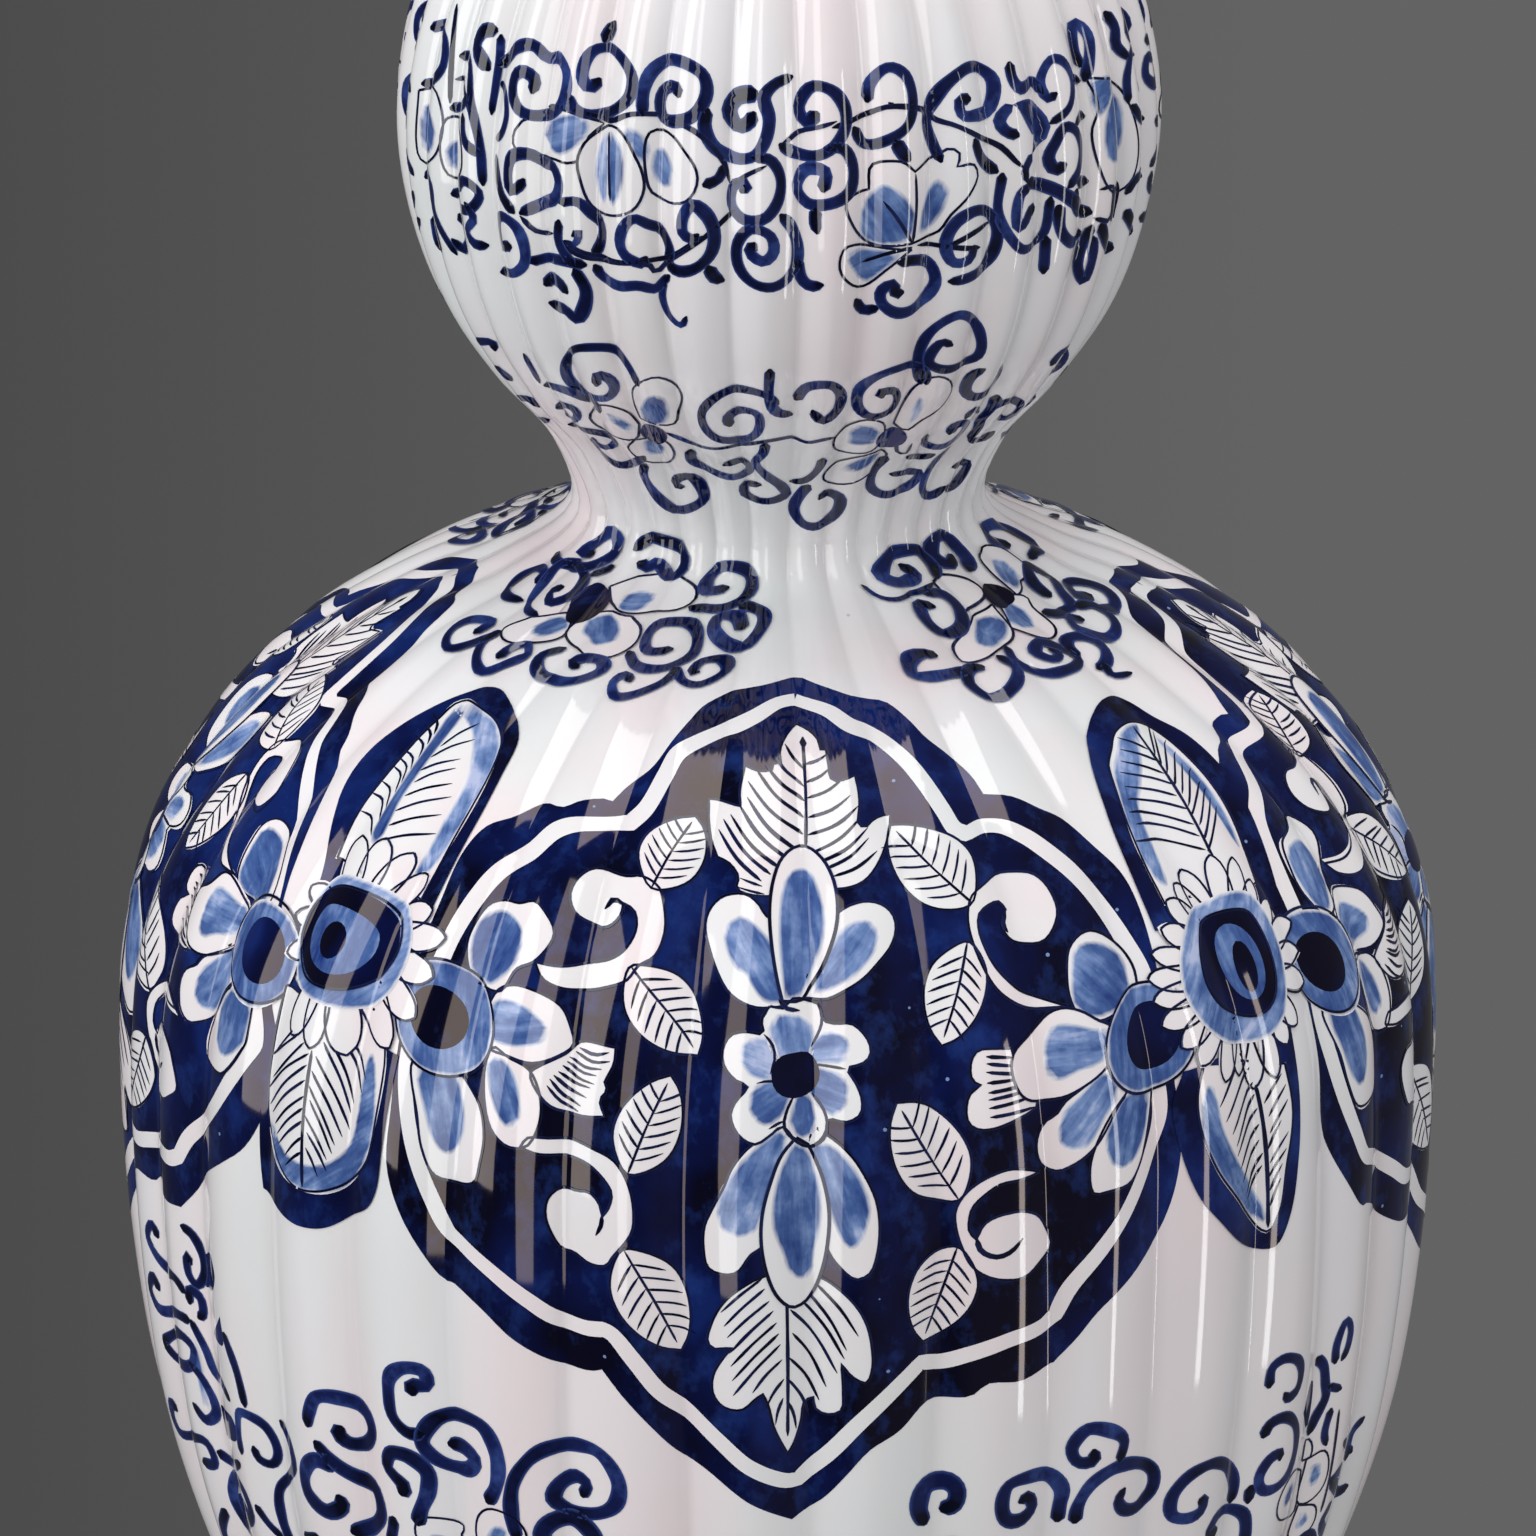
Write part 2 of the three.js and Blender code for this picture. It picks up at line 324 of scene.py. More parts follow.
def crest_line():
    """Radius and height up one rib's crest on the CAD walls."""
    found = {}
    crest = 180 / RIB_COUNT
    for name in WALLS:
        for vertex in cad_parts[name].data.vertices:
            x, y, z = vertex.co / MM
            if abs(math.degrees(math.atan2(y, x)) - crest) < 0.1:
                found[round(z, 2)] = math.hypot(x, y)
    return np.array([(found[z], z) for z in sorted(found)])


outline = spline(crest_line(), 24)
outline[:, 0] -= SKIN_INSET
reach = lengths_along(outline)


def up_to(height):
    """Distance up the wall at a height."""
    return float(np.interp(height, outline[:, 1], reach))


def rows_between(low, high):
    """Distances up the wall, evenly spaced, from one height to another."""
    start, end = up_to(low), up_to(high)
    return np.linspace(start, end, round((end - start) / ROW_STEP) + 1)


SECTIONS = {
    "lower_body": rows_between(FOOT_TOP, BELLY),
    "shoulder": rows_between(BELLY, WAIST_JOINT),
    "bulb": rows_between(WAIST_JOINT, NECK_JOINT),
    "neck": rows_between(NECK_JOINT, MOUTH),
}
all_rows = np.unique(np.concatenate(list(SECTIONS.values())))
row_radius = np.interp(all_rows, reach, outline[:, 0])
row_height = np.interp(all_rows, reach, outline[:, 1])


def radius_up(distance):
    """The crest radius at a distance up the wall."""
    return np.interp(distance, all_rows, row_radius)


def smooth(value, start, end):
    """0 before start, 1 after end and eased between them."""
    share = np.clip((value - start) / (end - start), 0, 1)
    return share * share * (3 - 2 * share)


def from_groove(angle):
    """0 in the bottom of a groove and 1 on a crest."""
    turn = angle * RIB_COUNT / 360
    return 1 - 2 * np.abs(turn - np.floor(turn) - 0.5)


def surface(angle, distance):
    """The skin of the wall in millimetres, at angles and distances up the wall."""
    radius = radius_up(distance)
    height = np.interp(distance, all_rows, row_height)
    run_out = smooth(height, FOOT_TOP, FOOT_TOP + RIB_RUN_OUT) - smooth(height, MOUTH - RIB_RUN_OUT, MOUTH)
    shallow = 1 - WAIST_SHALLOWER * np.exp(-((height - WAIST) / WAIST_REACH) ** 2)
    groove = np.round(angle / RIB_ANGLE) % RIB_COUNT
    wander = angle + GROOVE_WANDER * np.sin(distance / WANDER_RUN + WANDER_PHASE * groove)
    sunk = 1 + GROOVE_ROUND - np.sqrt(from_groove(wander) ** 2 + GROOVE_ROUND ** 2)
    turn = np.radians(angle)
    # Five waves round the wall cross seven others.
    waves = np.sin(5 * turn + distance / 17) * np.sin(7 * turn - distance / 29 + 1)
    radius = radius - run_out * (RIB_DEPTH * shallow * sunk ** 2 + SWELL / 2 * (1 - waves))
    return np.stack([radius * np.sin(turn), -radius * np.cos(turn), height], -1)


def facets(angle, distance):
    """The same skin as it is meshed: straight between the angle steps."""
    step = np.floor(angle / ANGLE_STEP)
    share = (angle / ANGLE_STEP - step)[..., None]
    before, after = surface(step * ANGLE_STEP, distance), surface((step + 1) * ANGLE_STEP, distance)
    return (1 - share) * before + share * after


def outward(angle, distance):
    """Unit normals of the smooth skin."""
    low = np.clip(distance - NORMAL_STEP, 0, reach[-1])
    high = np.clip(distance + NORMAL_STEP, 0, reach[-1])
    along = surface(angle, high) - surface(angle, low)
    around = surface(angle + NORMAL_TURN, distance) - surface(angle - NORMAL_TURN, distance)
    across = np.cross(around, along)
    return across / np.linalg.norm(across, axis=-1, keepdims=True)


def wall_thickness(height):
    """The wall grows thinner from the body to the neck."""
    return BODY_WALL + (NECK_WALL - BODY_WALL) * smooth(height, BELLY, MOUTH)


def lining_radius(height):
    """The smooth inside of the wall."""
    slope = np.gradient(outline[:, 0], outline[:, 1])
    square = np.minimum(np.interp(height, outline[:, 1], np.sqrt(1 + slope ** 2)), STEEPEST_WALL)
    return np.interp(height, outline[:, 1], outline[:, 0]) - wall_thickness(height) * square


def set_points(mesh, points):
    """Moves the vertices to points in millimetres."""
    mesh.vertices.foreach_set("co", (points * MM).astype(np.float32).ravel())


def get_points(mesh):
    """The vertices as they are: in millimetres while a mesh is being made."""
    points = np.empty(len(mesh.vertices) * 3, np.float32)
    mesh.vertices.foreach_get("co", points)
    return points.reshape(-1, 3).astype(float)


def keep(mesh, name, values):
    """Stores one number to each vertex for the material to read."""
    mesh.attributes.new(name, "FLOAT", "POINT").data.foreach_set("value", np.asarray(values, np.float32))


def unfold(mesh, across, up):
    """A flat map of the piece: across and up run from 0 to 1 over the piece."""
    corners = np.empty(len(mesh.loops), np.int32)
    mesh.loops.foreach_get("vertex_index", corners)
    flat = np.stack([across[corners], up[corners]], -1)
    starts = np.empty(len(mesh.polygons), np.int32)
    mesh.polygons.foreach_get("loop_start", starts)
    ends = np.append(starts[1:], len(corners))
    owner = np.repeat(np.arange(len(starts)), ends - starts)
    widest = np.maximum.reduceat(flat[:, 0], starts)[owner]
    flat[:, 0] += (widest - flat[:, 0] > 0.5)
    flat[:, 0] /= MAP_ROOM
    layer = mesh.uv_layers.new(name="OFBake")
    layer.data.foreach_set("uv", flat.astype(np.float32).ravel())


def piece(name, mesh, material):
    """A finished piece of the vase, which moves with it."""
    mesh.name = name
    made = bpy.data.objects.new(name, mesh)
    bpy.context.scene.collection.objects.link(made)
    mesh.materials.append(material)
    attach(made, "root")
    return made


def turned(profile, steps, closed=True):
    """A mesh turned from a profile of radius and height: a sheet rolled round the axis and joined."""
    ring = np.array(profile + profile[:1] if closed else profile, float)
    angles = np.radians(np.linspace(-180, 180, steps + 1))
    radius, height = (np.repeat(column, steps + 1) for column in ring.T)
    turns = np.tile(angles, len(ring))
    bm = bmesh.new()
    bmesh.ops.create_grid(bm, x_segments=steps, y_segments=len(ring) - 1, size=1)
    places = np.stack([radius * np.sin(turns), -radius * np.cos(turns), height], -1)
    for vertex, place in zip(bm.verts, places):
        vertex.co = place
    bmesh.ops.remove_doubles(bm, verts=bm.verts[:], dist=MERGE_DISTANCE)
    bmesh.ops.recalc_face_normals(bm, faces=bm.faces[:])
    for face in bm.faces:
        face.smooth = True
    mesh = bpy.data.meshes.new("turned")
    bm.to_mesh(mesh)
    bm.free()
    return mesh


def bearing(points):
    """The meridian on which each point lies."""
    return np.degrees(np.arctan2(points[:, 0], -points[:, 1]))


def ribbed_wall(name, floor=None):
    """One section of the wall: ribbed and glazed outside, with a smooth lining."""
    rows = SECTIONS[name]
    radii = radius_up(rows)
    heights = np.interp(rows, all_rows, row_height)
    bottom = heights[0] if floor is None else floor
    lining_rows = max(FEWEST_LINING_ROWS, round((heights[-1] - bottom) / LINING_ROW))
    inside = np.linspace(heights[-1], bottom, lining_rows)
    profile = list(zip(radii, heights)) + [(lining_radius(z), z) for z in inside]
    if floor is not None:
        profile = [(0, heights[0])] + profile + [(0, floor)]
    mesh = turned(profile, round(360 / ANGLE_STEP), closed=floor is None)
    points = get_points(mesh)
    radius = np.hypot(points[:, 0], points[:, 1])
    distance = np.interp(points[:, 2], outline[:, 1], reach)
    outer = radius > np.interp(points[:, 2], outline[:, 1], outline[:, 0]) - 1
    angle = np.round(bearing(points) / ANGLE_STEP) * ANGLE_STEP
    points[outer] = surface(angle[outer], distance[outer])
    set_points(mesh, points)
    normals = np.stack([-points[:, 0], -points[:, 1], np.full(len(points), 0.001)], -1)
    if floor is not None:
        normals[radius < lining_radius(heights[0]) * FLAT_FLOOR_SHARE] = (0, 0, 1)
    normals /= np.linalg.norm(normals, axis=-1, keepdims=True)
    normals[outer] = outward(angle[outer], distance[outer])
    # Depth into the groove, which the glaze reads to paint shade into the grooves.
    keep(mesh, "groove", np.where(outer, 1 - from_groove(angle), 0))
    lining_up = MAP_LINING_FROM + points[:, 2] / MAP_LINING_RUN
    up = np.where(outer, MAP_OUTSIDE * distance / reach[-1], lining_up)
    unfold(mesh, (angle + 180) / 360 % 1, up)
    mesh.normals_split_custom_set_from_vertices(normals.tolist())
    made = piece(name + "_wall", mesh, BODY_GLAZE)
    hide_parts(name)


# Foot ring
# A turned ring of clay under the body. It is glazed on both sides, and its resting face is wiped bare
# before the firing, so that it doesn't stick to the kiln shelf.
FOOT_REST_RADIUS = 79
FOOT_REST_WIDTH = 7
FOOT_ROUND = 2.5
FOOT_INSIDE_SLOPE = 3
BARE_TO, GLAZED_FROM = 0.0007, 0.0012
TURNED_STEPS = 288


def arc(centre, across, up, start, end, steps):
    """Points on an ellipse between two angles in degrees."""
    turns = np.radians(np.linspace(start, end, steps))
    return [(centre[0] + across * math.cos(t), centre[1] + up * math.sin(t)) for t in turns]


def turned_piece(name, profile, glaze, replaced):
    """A smooth turned piece in place of one of the modelled ones."""
    mesh = turned(profile, TURNED_STEPS)
    points = get_points(mesh)
    set_points(mesh, points)
    keep(mesh, "groove", np.zeros(len(points)))
    corners = np.array(profile)
    radius = np.hypot(points[:, 0], points[:, 1])
    gaps = np.hypot(radius[:, None] - corners[:, 0], points[:, 2][:, None] - corners[:, 1])
    unfold(mesh, (bearing(points) + 180) / 360 % 1, np.argmin(gaps, axis=1) / len(profile))
    made = piece(name, mesh, glaze)
    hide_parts(replaced)


def foot_glaze():
    """Tin glaze that gives way to buff clay on the wiped resting face."""
    made = tin_glaze("foot_glaze_and_clay")
    node = node_maker(made.node_tree)
    body = made.node_tree.nodes["Principled BSDF"]
    glazed = body.inputs["Base Color"].links[0].from_socket
    place = node("ShaderNodeTexCoord").outputs["Object"]
    height = node("ShaderNodeSeparateXYZ", {0: place}).outputs[2]
    bare = mapped(node, height, GLAZED_FROM, BARE_TO)
    link(blended(node, bare, glazed, BARE_CLAY), body, "Base Color")
    link(mapped(node, bare, 0.0, 1.0, GLAZE_ROUGHNESS, CLAY_ROUGHNESS), body, "Roughness")
    return made


foot_top_radius = float(outline[0, 0])
inner_rest = FOOT_REST_RADIUS - FOOT_REST_WIDTH
outer_rest = FOOT_REST_RADIUS - SKIN_INSET
reach_in = outer_rest + FOOT_ROUND - foot_top_radius
cove = [(outer_rest + FOOT_ROUND - reach_in * (1 - (1 - t) ** 2), FOOT_ROUND + (FOOT_TOP - FOOT_ROUND) * t)
        for t in np.linspace(0.1, 1, 10)]
foot_profile = (
    [(inner_rest, 0), (inner_rest + FOOT_REST_WIDTH / 2, 0)]
    + arc((outer_rest, FOOT_ROUND), FOOT_ROUND, FOOT_ROUND, -90, 0, 6)
    + cove
    + [(inner_rest - FOOT_ROUND - FOOT_INSIDE_SLOPE, FOOT_TOP)]
    + arc((inner_rest, FOOT_ROUND), FOOT_ROUND, FOOT_ROUND, 180, 260, 5)
)
turned_piece("foot_ring_turned", foot_profile, foot_glaze(), "foot_ring")

# Lower body
# A moulded bowl of clay with 36 ribs pressed into it. It carries the belly and holds the vase's floor.
ribbed_wall("lower_body", floor=FOOT_TOP + FLOOR_THICKNESS)

# Shoulder
# A second moulding, luted to the bowl at the belly with slip and smoothed over, so that no seam shows.
ribbed_wall("shoulder")

# Bulb
# The upper gourd. The ribs run on through the narrow waist, where they are shallower.
ribbed_wall("bulb")

# Neck
# A slender moulded neck, luted to the bulb. Its ribs run out below the mouth.
ribbed_wall("neck")

# Lip
# A coil of clay rolled over the mouth and turned round on top, where the glaze thins a little.
LIP_BULGE = 3
LIP_SWELL_HEIGHT = 3.5
LIP_CLEARANCE = 0.05
lip_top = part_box("lip")[1].z / MM
wall_at_mouth = float(outline[-1, 0])
lip_inner = float(lining_radius(MOUTH))
lip_outer = wall_at_mouth + LIP_BULGE
lip_centre = ((lip_inner + lip_outer) / 2, MOUTH + LIP_SWELL_HEIGHT)
lip_profile = [(lip_inner, MOUTH), (wall_at_mouth, MOUTH)]
lip_rise = lip_top - lip_centre[1] - LIP_CLEARANCE
lip_profile += arc(lip_centre, (lip_outer - lip_inner) / 2, lip_rise, 0, 180, 17)
turned_piece("lip_rolled", lip_profile, BODY_GLAZE, "lip")

# Brushwork
# The painter lays fine outlines, fills the ground round the flowers with broad cobalt, shades petals
# with thin washes and adds curls in single strokes. Each kind of paint is its own thin sheet on the wall.
LIFTS = {"ground": 0.0, "white": 0.0, "wash": 0.015, "core": 0.022, "line": 0.045, "curl": 0.04}
LAYER_LIFT = 0.058
STROKE_LIFT = 0.00004
STROKE_STEP = 0.9
LINE_STEP = 1.1
BAND_STEP = 1.5
SHORTEST_STROKE = 0.3
PETAL_LINE = 0.46
THIN_LINE = 0.44
LEAF_VEINS = 6
PHASES = (0, 6.28)
FAR_INSIDE = 9.0
BRUSH_SIDES = np.array([-1, -0.66, 0, 0.66, 1])
HAND_WAVES = (7, 4)
TAPER_LIMITS = (0.74, 1.1)
TIP_WIDTH = 0.2
LONGEST_TIP = 0.6
WOBBLES = ((0.09, 2.7), (0.05, 1.1))
POOLING, POOL_REACH = 0.55, 0.9
LOAD_SWAY, LOAD_RUN = 0.15, 6
VEIN_SLIPS = (0.15, 0.35)
MARKS = ("along", "across", "load", "shade", "inside")
rng = np.random.default_rng(1650)


def pts(text):
    """Points written as x,y or x,y,width. A star marks a corner."""
    made = []
    for word in text.split():
        numbers = [float(n) for n in word.strip("*").split(",")]
        width = numbers[2] if len(numbers) > 2 else 0
        made.append((numbers[0], numbers[1], width, word.endswith("*")))
    return np.array(made)


def resampled(points, step):
    """The same line with points evenly spaced, about a step apart."""
    lengths = lengths_along(points[:, :2])
    count = max(2, round(lengths[-1] / step) + 1)
    places = np.linspace(0, lengths[-1], count)
    return np.stack([np.interp(places, lengths, points[:, k]) for k in range(3)], -1)


def drawn(points, step=STROKE_STEP, closed=False):
    """A smooth line through given points, sharp at its corners."""
    points = pts(points) if isinstance(points, str) else np.asarray(points, float)
    if points.shape[1] < 4:
        points = np.hstack([points, np.zeros((len(points), 4 - points.shape[1]))])
    corners = np.flatnonzero(points[:, 3])
    if closed and not len(corners):
        loop = spline(points[:, :3], 6, closed=True)
        return resampled(np.vstack([loop, loop[:1]]), step)[:-1]
    if closed:
        points = np.roll(points, -corners[0], axis=0)
        points = np.vstack([points, points[:1]])
        corners = np.flatnonzero(points[:, 3])
    ends = sorted({0, *corners.tolist(), len(points) - 1})
    runs = []
    for start, end in zip(ends, ends[1:]):
        run = points[start:end + 1, :3]
        smoothed = spline(run, 6) if len(run) > 2 else run
        runs.append(resampled(smoothed, step)[:-1])
    if not closed:
        runs.append(points[-1:, :3])
    return np.vstack(runs)


def sideways(line):
    """A unit vector to the left of a line at each of its points."""
    ahead = np.gradient(line, axis=0)
    ahead /= np.maximum(np.linalg.norm(ahead, axis=1, keepdims=True), 1e-6)
    return np.stack([-ahead[:, 1], ahead[:, 0]], -1)


def ray(degrees):
    """A unit vector at an angle."""
    return np.array([math.cos(math.radians(degrees)), math.sin(math.radians(degrees))])


def oval(x, y, half_width, half_height, turn=0, point=0):
    """A closed ring of points; point draws its lower end out, as on a petal."""
    turns = np.radians(np.arange(0, 360, 30))
    across = half_width * np.cos(turns) * (1 - point * np.clip(-np.sin(turns), 0, 1))
    up = half_height * np.sin(turns)
    c, s = ray(turn)
    return np.stack([x + c * across - s * up, y + s * across + c * up], -1)


def distance_inside(points, rim):
    """How far each point lies from a closed rim."""
    spans = np.roll(rim, -1, axis=0) - rim
    squares = np.maximum((spans ** 2).sum(1), 1e-9)
    best = np.full(len(points), 1e9)
    for start, span, square in zip(rim, spans, squares):
        share = np.clip(((points - start) @ span) / square, 0, 1)
        gap = points - start - share[:, None] * span
        best = np.minimum(best, (gap ** 2).sum(1))
    return np.sqrt(best)


def cut_to_facets(bm, low, high):
    """Cuts a flat fill along the wall's facets, so that it can follow them."""
    first, last = math.ceil(low[0] / ANGLE_STEP), math.floor(high[0] / ANGLE_STEP)
    cuts = [((k * ANGLE_STEP, 0, 0), (1, 0, 0)) for k in range(first, last + 1)]
    cuts += [((0, row, 0), (0, 1, 0)) for row in all_rows[(all_rows > low[1]) & (all_rows < high[1])]]
    parts = bm.verts[:] + bm.edges[:] + bm.faces[:]
    for place, square in cuts:
        parts = bmesh.ops.bisect_plane(bm, geom=parts, dist=1e-5, plane_co=place, plane_no=square)["geom"]


def blunt_end(nearest, half, total):
    """How a stroke's half width closes at a round end."""
    radius = np.minimum(half, total / 3)
    share = np.clip(nearest / np.maximum(radius, 1e-3), 0, 1)
    return half * np.sqrt(np.clip(1 - (1 - share) ** 2, 0.06, 1))


def drawn_out(nearest, half, total, tip):
    """How a stroke's half width closes over a tip of some length."""
    share = np.clip(nearest / min(tip, total * LONGEST_TIP), 0, 1)
    return half * (TIP_WIDTH + (1 - TIP_WIDTH) * np.sqrt(share))


class Field:
    """One painted field, drawn in millimetres from a meridian and a distance up the wall."""

    def __init__(self, name, meridian, level, wide=1.0, tall=1.0, loose=0.0, layer=1, taper=0.0):
        self.name = name
        self.meridian = meridian
        self.level = level
        self.wide = wide
        self.tall = tall
        self.loose = loose
        self.layer = layer
        self.taper = taper
        self.sheets = {}
        self.strokes = 0

    def unsteady(self, line):
        """A hand never draws the same line twice."""
        if self.loose:
            phase = rng.uniform(*PHASES, 4)
            x, y = line[:, 0].copy(), line[:, 1].copy()
            long, short = HAND_WAVES
            line[:, 0] += self.loose * (np.sin(y / long + phase[0]) + 0.5 * np.sin(x / short + phase[1]))
            line[:, 1] += self.loose * (np.sin(x / long + phase[2]) + 0.5 * np.sin(y / short + phase[3]))
        return line

    def breadth(self, up):
        """How broadly the field is drawn at a place: a tapered field narrows towards its top."""
        return self.wide * np.clip(1 - self.taper * (up - self.level), *TAPER_LIMITS)

    def onto(self, line):
        """Angles and distances up the wall of drawn points."""
        up = self.level + self.tall * line[:, 1]
        return np.stack([self.meridian + np.degrees(self.breadth(up) * line[:, 0] / radius_up(up)), up], -1)

    def lay(self, paint, bm, flat):
        """Places a stroke's vertices. What is painted later lies on top."""
        self.strokes += 1
        lift = LAYER_LIFT * self.layer + LIFTS[paint] + self.strokes * STROKE_LIFT
        for vertex, (angle, up) in zip(bm.verts, flat):
            vertex.co = (angle, up, lift)

    def add(self, paint, bm, *marks):
        """Joins a stroke to its paint's sheet, with a mark of each kind for every vertex."""
        sheet = self.sheets.setdefault(paint, {"bm": bmesh.new(), "marks": []})
        mesh = bpy.data.meshes.new("part")
        bm.to_mesh(mesh)
        bm.free()
        sheet["bm"].from_mesh(mesh)
        bpy.data.meshes.remove(mesh)
        sheet["marks"].append(np.stack(np.broadcast_arrays(*marks), -1))

    def fill(self, paint, rim, grain=None, shade=0.0, step=1.1, soft=True):
        """A filled shape. Its grain is the way of the brush, from one point to another."""
        rim = drawn(rim, step, closed=True)[:, :2]
        x, y = rim.T
        if (x * np.roll(y, -1) - y * np.roll(x, -1)).sum() < 0:
            rim = rim[::-1].copy()
        rim = self.unsteady(rim)
        flat = self.onto(rim)
        bm = bmesh.new()
        bmesh.ops.create_circle(bm, cap_ends=True, segments=len(flat), radius=1)
        self.lay(paint, bm, flat)
        cut_to_facets(bm, flat.min(0), flat.max(0))
        angle, up = np.array([v.co[:2] for v in bm.verts]).T
        across = np.radians(angle - self.meridian) * radius_up(up) / self.breadth(up)
        local = np.stack([across, (up - self.level) / self.tall], -1)
        grain = grain or (*rim.mean(0), rim[:, 0].mean(), rim[:, 1].max())
        start = np.array(grain[:2])
        way = np.array(grain[2:]) - start
        way = way / max(np.hypot(*way), 1e-6)
        offset = local - start
        inside = distance_inside(local, rim) if paint == "wash" and soft else FAR_INSIDE
        self.add(paint, bm, offset @ way, offset @ np.array([-way[1], way[0]]), 0.5, shade, inside)

    def stroke(self, paint, path, width=2.2, tips=(0, 0), closed=False, load=0.37, sides=4):
        """A brush stroke along a path, round or drawn out to tips of the given lengths."""
        line = self.unsteady(drawn(path, STROKE_STEP if sides > 1 else LINE_STEP, closed))
        if closed:
            line = np.vstack([line, line[:1]])
        lengths = lengths_along(line[:, :2])
        total = lengths[-1]
        if total < SHORTEST_STROKE:
            return
        half = np.where(line[:, 2] > 0, line[:, 2], width) / 2
        ends = np.full(len(line), FAR_INSIDE)
        if not closed:
            for tip, nearest in zip(tips, (lengths, total - lengths)):
                half = drawn_out(nearest, half, total, tip) if tip else blunt_end(nearest, half, total)
            phase = rng.uniform(*PHASES, len(WOBBLES))
            wobble = 1.0
            for (share, run), start in zip(WOBBLES, phase):
                wobble = wobble + share * np.sin(lengths / run + start)
            half = half * wobble
            ends = np.minimum(lengths, total - lengths)
        spread = np.linspace(-1, 1, sides + 1) if sides < 4 else BRUSH_SIDES
        square = sideways(line[:, :2])
        grid = line[:, None, :2] - square[:, None] * (half[:, None] * spread)[..., None]
        bm = bmesh.new()
        bmesh.ops.create_grid(bm, x_segments=sides, y_segments=len(line) - 1, size=1)
        self.lay(paint, bm, self.onto(grid.reshape(-1, 2)))
        paint_pooling_and_groove_shade = load + POOLING * np.exp(-(ends / (POOL_REACH * width)) ** 2)
        paint_pooling_and_groove_shade = paint_pooling_and_groove_shade + LOAD_SWAY * np.sin(lengths / LOAD_RUN + rng.uniform(0, 6))
        self.add(paint, bm, np.repeat(lengths, sides + 1), np.tile(spread, len(line)),
                 np.repeat(paint_pooling_and_groove_shade, sides + 1), 0.0, 1.0)

    def band(self, paint, path, width, shade=0.0):
        """A broad stroke laid as a filled shape, so that it follows the ribs."""
        line = drawn(path, BAND_STEP)[:, :2]
        share = np.linspace(-1, 1, len(line))
        half = (width / 2 * np.sqrt(1 - 0.97 * share ** 4))[:, None]
        square = sideways(line)
        rim = np.vstack([line + square * half, (line - square * half)[::-1]])
        self.fill(paint, rim, (*line[0], *line[-1]), shade)

    def line(self, path, width=0.7, closed=False, tips=(0, 0)):
        """A fine dark outline."""
        self.stroke("line", path, width, tips, closed, load=0.5, sides=1)

    def hatch(self, inner, outer, count, width=0.52, bow=0.0):
        """Fine veins from points along one line to points along another."""
        a, b = pts(inner)[:, :2], pts(outer)[:, :2]
        for share in np.linspace(0, 1, count):
            start = a[0] + (a[1] - a[0]) * share + rng.normal(0, VEIN_SLIPS[0], 2)
            end = b[0] + (b[1] - b[0]) * share + rng.normal(0, VEIN_SLIPS[1], 2)
            middle = (start + end) / 2 + bow * np.array([end[1] - start[1], start[0] - end[0]])
            self.line(np.array([start, middle, end]), width, tips=(0, 3))

    def petal(self, rim, wash=None, grain=None, shade=0.0, outline=PETAL_LINE):
        """A reserved petal: bare glaze with a fine outline and a wash inside."""
        self.fill("white", rim)
        if outline:
            self.line(rim, outline, closed=True)
        if wash is not None:
            self.fill("wash", wash, grain, shade, step=0.9)

    def leaf(self, base, tip, half):
        """A small pointed leaf with a midrib and paired veins."""
        base, tip = np.array(base, float), np.array(tip, float)
        way = tip - base
        length = np.hypot(*way)
        square = np.array([-way[1], way[0]]) / length
        shares = np.array([0, 0.10, 0.28, 0.5, 0.72, 0.9, 1])
        swell = np.array([0, 0.52, 0.93, 1, 0.8, 0.42, 0])
        left = base + way * shares[:, None] + square * (half * swell)[:, None]
        right = base + way * shares[:, None] - square * (half * swell)[:, None]
        rim = np.vstack([left, right[-2:0:-1]])
        corner = np.zeros((len(rim), 2))
        corner[len(left) - 1, 1] = 1
        rim = np.hstack([rim, corner])
        self.fill("white", rim)
        self.line(rim, THIN_LINE, closed=True)
        self.line(np.array([base, base + way * 0.5 + square * 0.3, base + way * 0.92]), THIN_LINE)
        for share in np.linspace(0.14, 0.74, LEAF_VEINS):
            root = base + way * share
            for side in (1, -1):
                end = root + way * 0.17 + side * square * half * (0.86 - 0.55 * abs(share - 0.35))
                self.line(np.array([root, (root + end) / 2 - way * 0.01, end]), THIN_LINE, tips=(0, 1.5))

    def finish(self):
        """Lays every sheet on the wall."""
        for paint, sheet in self.sheets.items():
            mesh = bpy.data.meshes.new(self.name)
            sheet["bm"].to_mesh(mesh)
            sheet["bm"].free()
            angle, up, lift = get_points(mesh).T
            normals = outward(angle, up)
            set_points(mesh, facets(angle, up) + normals * lift[:, None])
            for name, values in zip(MARKS, np.vstack(sheet["marks"]).T):
                keep(mesh, name, values)
            # Depth into the groove: the white paint uses the body glaze, which paints shade into the grooves
            # by it.
            keep(mesh, "groove", 1 - from_groove(angle))
            across = 0.49 * (angle - angle.min()) / max(np.ptp(angle), 1e-6)
            unfold(mesh, across, (up - up.min()) / max(np.ptp(up), 1e-6))
            mesh.polygons.foreach_set("use_smooth", np.ones(len(mesh.polygons), bool))
            mesh.normals_split_custom_set_from_vertices(normals.tolist())
            piece(f"{self.name}_{paint}", mesh, PAINTS[paint])


